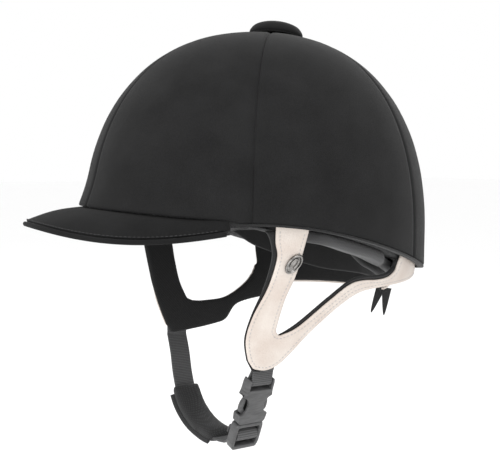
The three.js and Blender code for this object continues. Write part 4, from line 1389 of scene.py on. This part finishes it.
def build_nape_lacing():
    """Two straight runs between the eyelets, one across, and a short end that hangs to the knot."""
    back = Vector((0, 1, 0))
    high, low = EYELET_HEIGHTS
    half = harness_point(EYELET_ANGLE, high, 0).x
    runs = []
    for z in EYELET_HEIGHTS:
        beside = harness_point(EYELET_ANGLE, z, 0).y + 1.2
        route = [Vector((x, lerp(rear(z) + 2.3, beside, abs(x / half) ** 2), z))
                 for x in steps(-half, half, 14)]
        runs.append(flat_cord(route, 2.6, 1.3, back))
    cross = [Vector((x, rear(CROSS_Z) + 1.4, lerp(high, low, (x / half + 1) / 2)))
             for x in steps(-half, half, 12)]
    runs.append(flat_cord(cross, 2.2, 1.1, back))
    runs.append(flat_cord([Vector((0, rear(z) + 2, z)) for z in steps(CROSS_Z, TAIL_TOP, 10)], 3, 1.6, back))
    make_piece("nape_lacing", joined(runs), lace_cloth, ["nape_lace"])


def build_lace_knot():
    """Two tilted coils of lace."""
    back = Vector((0, 1, 0))
    middle = Vector((0, rear(EYELET_HEIGHTS[1]) + 2, KNOT_Z))
    coils = []
    for tilt, radius, size in ((12, 3.4, 1.5), (-20, 2.8, 1.4)):
        tilted = Matrix.Rotation(math.radians(tilt), 3, "Y")
        rings = []
        for c, s in circle(22):
            centre = middle + tilted @ Vector((radius * c, 1.8 * s * c, 0.62 * radius * s))
            radial = tilted @ Vector((c, 0, 0.8 * s)).normalized()
            rings.append(ellipse(centre, radial * (0.75 * size), back * (0.75 * size), 10))
        coils.append(ring_sweep(rings, closed=True))
    make_piece("lace_bow_knot", joined(coils), lace_cloth, ["lace_knot"])


def build_lace_tails():
    base = rear(EYELET_HEIGHTS[1]) + 3.6
    for name, side, sweep, fall in (("left", 1, 1, 4), ("right", -1, -6, 6)):
        route = [Vector((side * 3.4 + sweep * t, base - fall * t ** 0.9, TAIL_TOP - TAIL_DROP * t))
                 for t in steps(0, 1, 18)]
        shape = flat_cord(route, tail_width, 1.0, Vector((0.86, -0.51, 0)))
        make_piece(f"lace_end_{name}", shape, lace_cloth, [f"lace_tail_{name}"])


def bow_pair(row, share):
    """The outer and inner point of the ribbon at a share of its height and of its length."""
    half = 10 + 7 * smoothstep(abs(share), 0.1, 0.9)
    angle = 180 + share * BOW_HALF_ANGLE
    rise = rise_at(angle, BOW_MIDDLE + row * half, 0)
    edge = edge_profile(half * (1 - abs(row)), 1.4, 1.6) + edge_profile((1 - abs(share)) * 46, 1.2, 2)
    pleat = 0.5 * math.cos(row * math.pi * 2.2) * (1 - smoothstep(abs(share), 0.1, 0.75))
    return crown_point(angle, rise, -BOW_OUT + edge - pleat * 0.5), crown_point(angle, rise, -GAP)


def build_rear_bow():
    rows = [[bow_pair(row, share) for share in steps(-1, 1, 44)] for row in steps(-1, 1, 16)]
    outer, inner = ([[pair[side] for pair in row] for row in rows] for side in (0, 1))
    make_piece("bow_ribbon", grid_slab(outer, inner), ribbon_cloth, ["rear_bow_ribbon"])
    rings = []
    for x in [-6, -5.7, -5, -3.5, -1.6, 0, 1.6, 3.5, 5, 5.7, 6]:
        shrink = {6: 0.35, 5.7: 0.1}.get(abs(x), 0)
        fold = 0.25 * math.cos(x * 1.6)
        section = rounded_box(0.4 + shrink, 4.8 - shrink + fold * 0.4, -11.6 + shrink, 11.6 - shrink, 1.4, 5)
        rings.append([Vector((x, HALF_LENGTH + y, BOW_MIDDLE + z)) for y, z in section])
    make_piece("bow_wrap", ring_sweep(rings), ribbon_cloth, ["rear_bow_knot"])


# ------------------------------------------------------------------ everything together

velvet = velvet_material("black_velvet", 0.007, 0.0155, 0.055)
# Painted shade: the peak's velvet is a darker copy of the crown's velvet, with less sheen, to hold down the
# light its top catches from the lamps.
velvet_peak_painted_shade = velvet_material("velvet_peak_painted_shade", 0.005, 0.012, 0.03)
# Painted shade: the piping cord's velvet is a darker copy of the crown's velvet, with less sheen, against
# the light it catches at a grazing angle.
velvet_piping_painted_shade = velvet_material("velvet_piping_cord_painted_shade", 0.006, 0.013, 0.02)
ribbon_cloth = velvet_material("bow_ribbon_cloth", 0.01, 0.024, 0.08)
black_cloth = cloth_material("black_lining_cloth", 0.01, 0.024, 0.9)
pad_cloth = cloth_material("chin_padding_cloth", 0.018, 0.042, 1.0)
grey_cloth = cloth_material("grey_band_cloth", 0.055, 0.1, 1.0)
lace_cloth = cloth_material("lace_cloth", 0.02, 0.04, 0.7)
pale_leather = leather_material("blush_leather", (0.57, 0.495, 0.443), (0.645, 0.585, 0.534))
pale_thread = cloth_material("pale_thread", 0.34, 0.46, 0.5)
dark_thread = cloth_material("dark_thread", 0.02, 0.045, 0.5)
webbing = webbing_material("grey_webbing", 0.035, 0.1)
buckle_plastic = plastic_material("buckle_moulding", 0.045, 0.08, 0.28)
shell_plastic = plastic_material("shell_moulding", 0.02, 0.035, 0.35)
nickel = metal_material("aged_nickel", (0.14, 0.135, 0.13), (0.4, 0.385, 0.37))
foam = foam_material("liner_foam", 0.025, 0.05)


def paint_node(name, material):
    """A CAD node that stays visible gets a material of the looks."""
    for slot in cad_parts[name].material_slots:
        slot.material = material


add_camera()
add_studio()
build_gores()
build_bands()
build_foam()
build_crown_pad()
build_button()
build_peak()
build_rear_bow()
build_harness()
build_hardware()
build_nape_lacing()
build_lace_knot()
build_lace_tails()
build_straps()
build_chin_pad()
build_buckle()
for node in ("hard_shell", "button_core"):
    paint_node(node, shell_plastic)
for node in ("button_rivet", "button_washer"):
    paint_node(node, nickel)
for place in ("front", "side", "rear"):
    for hand in ("left", "right"):
        paint_node(f"rivet_{place}_{hand}", nickel)
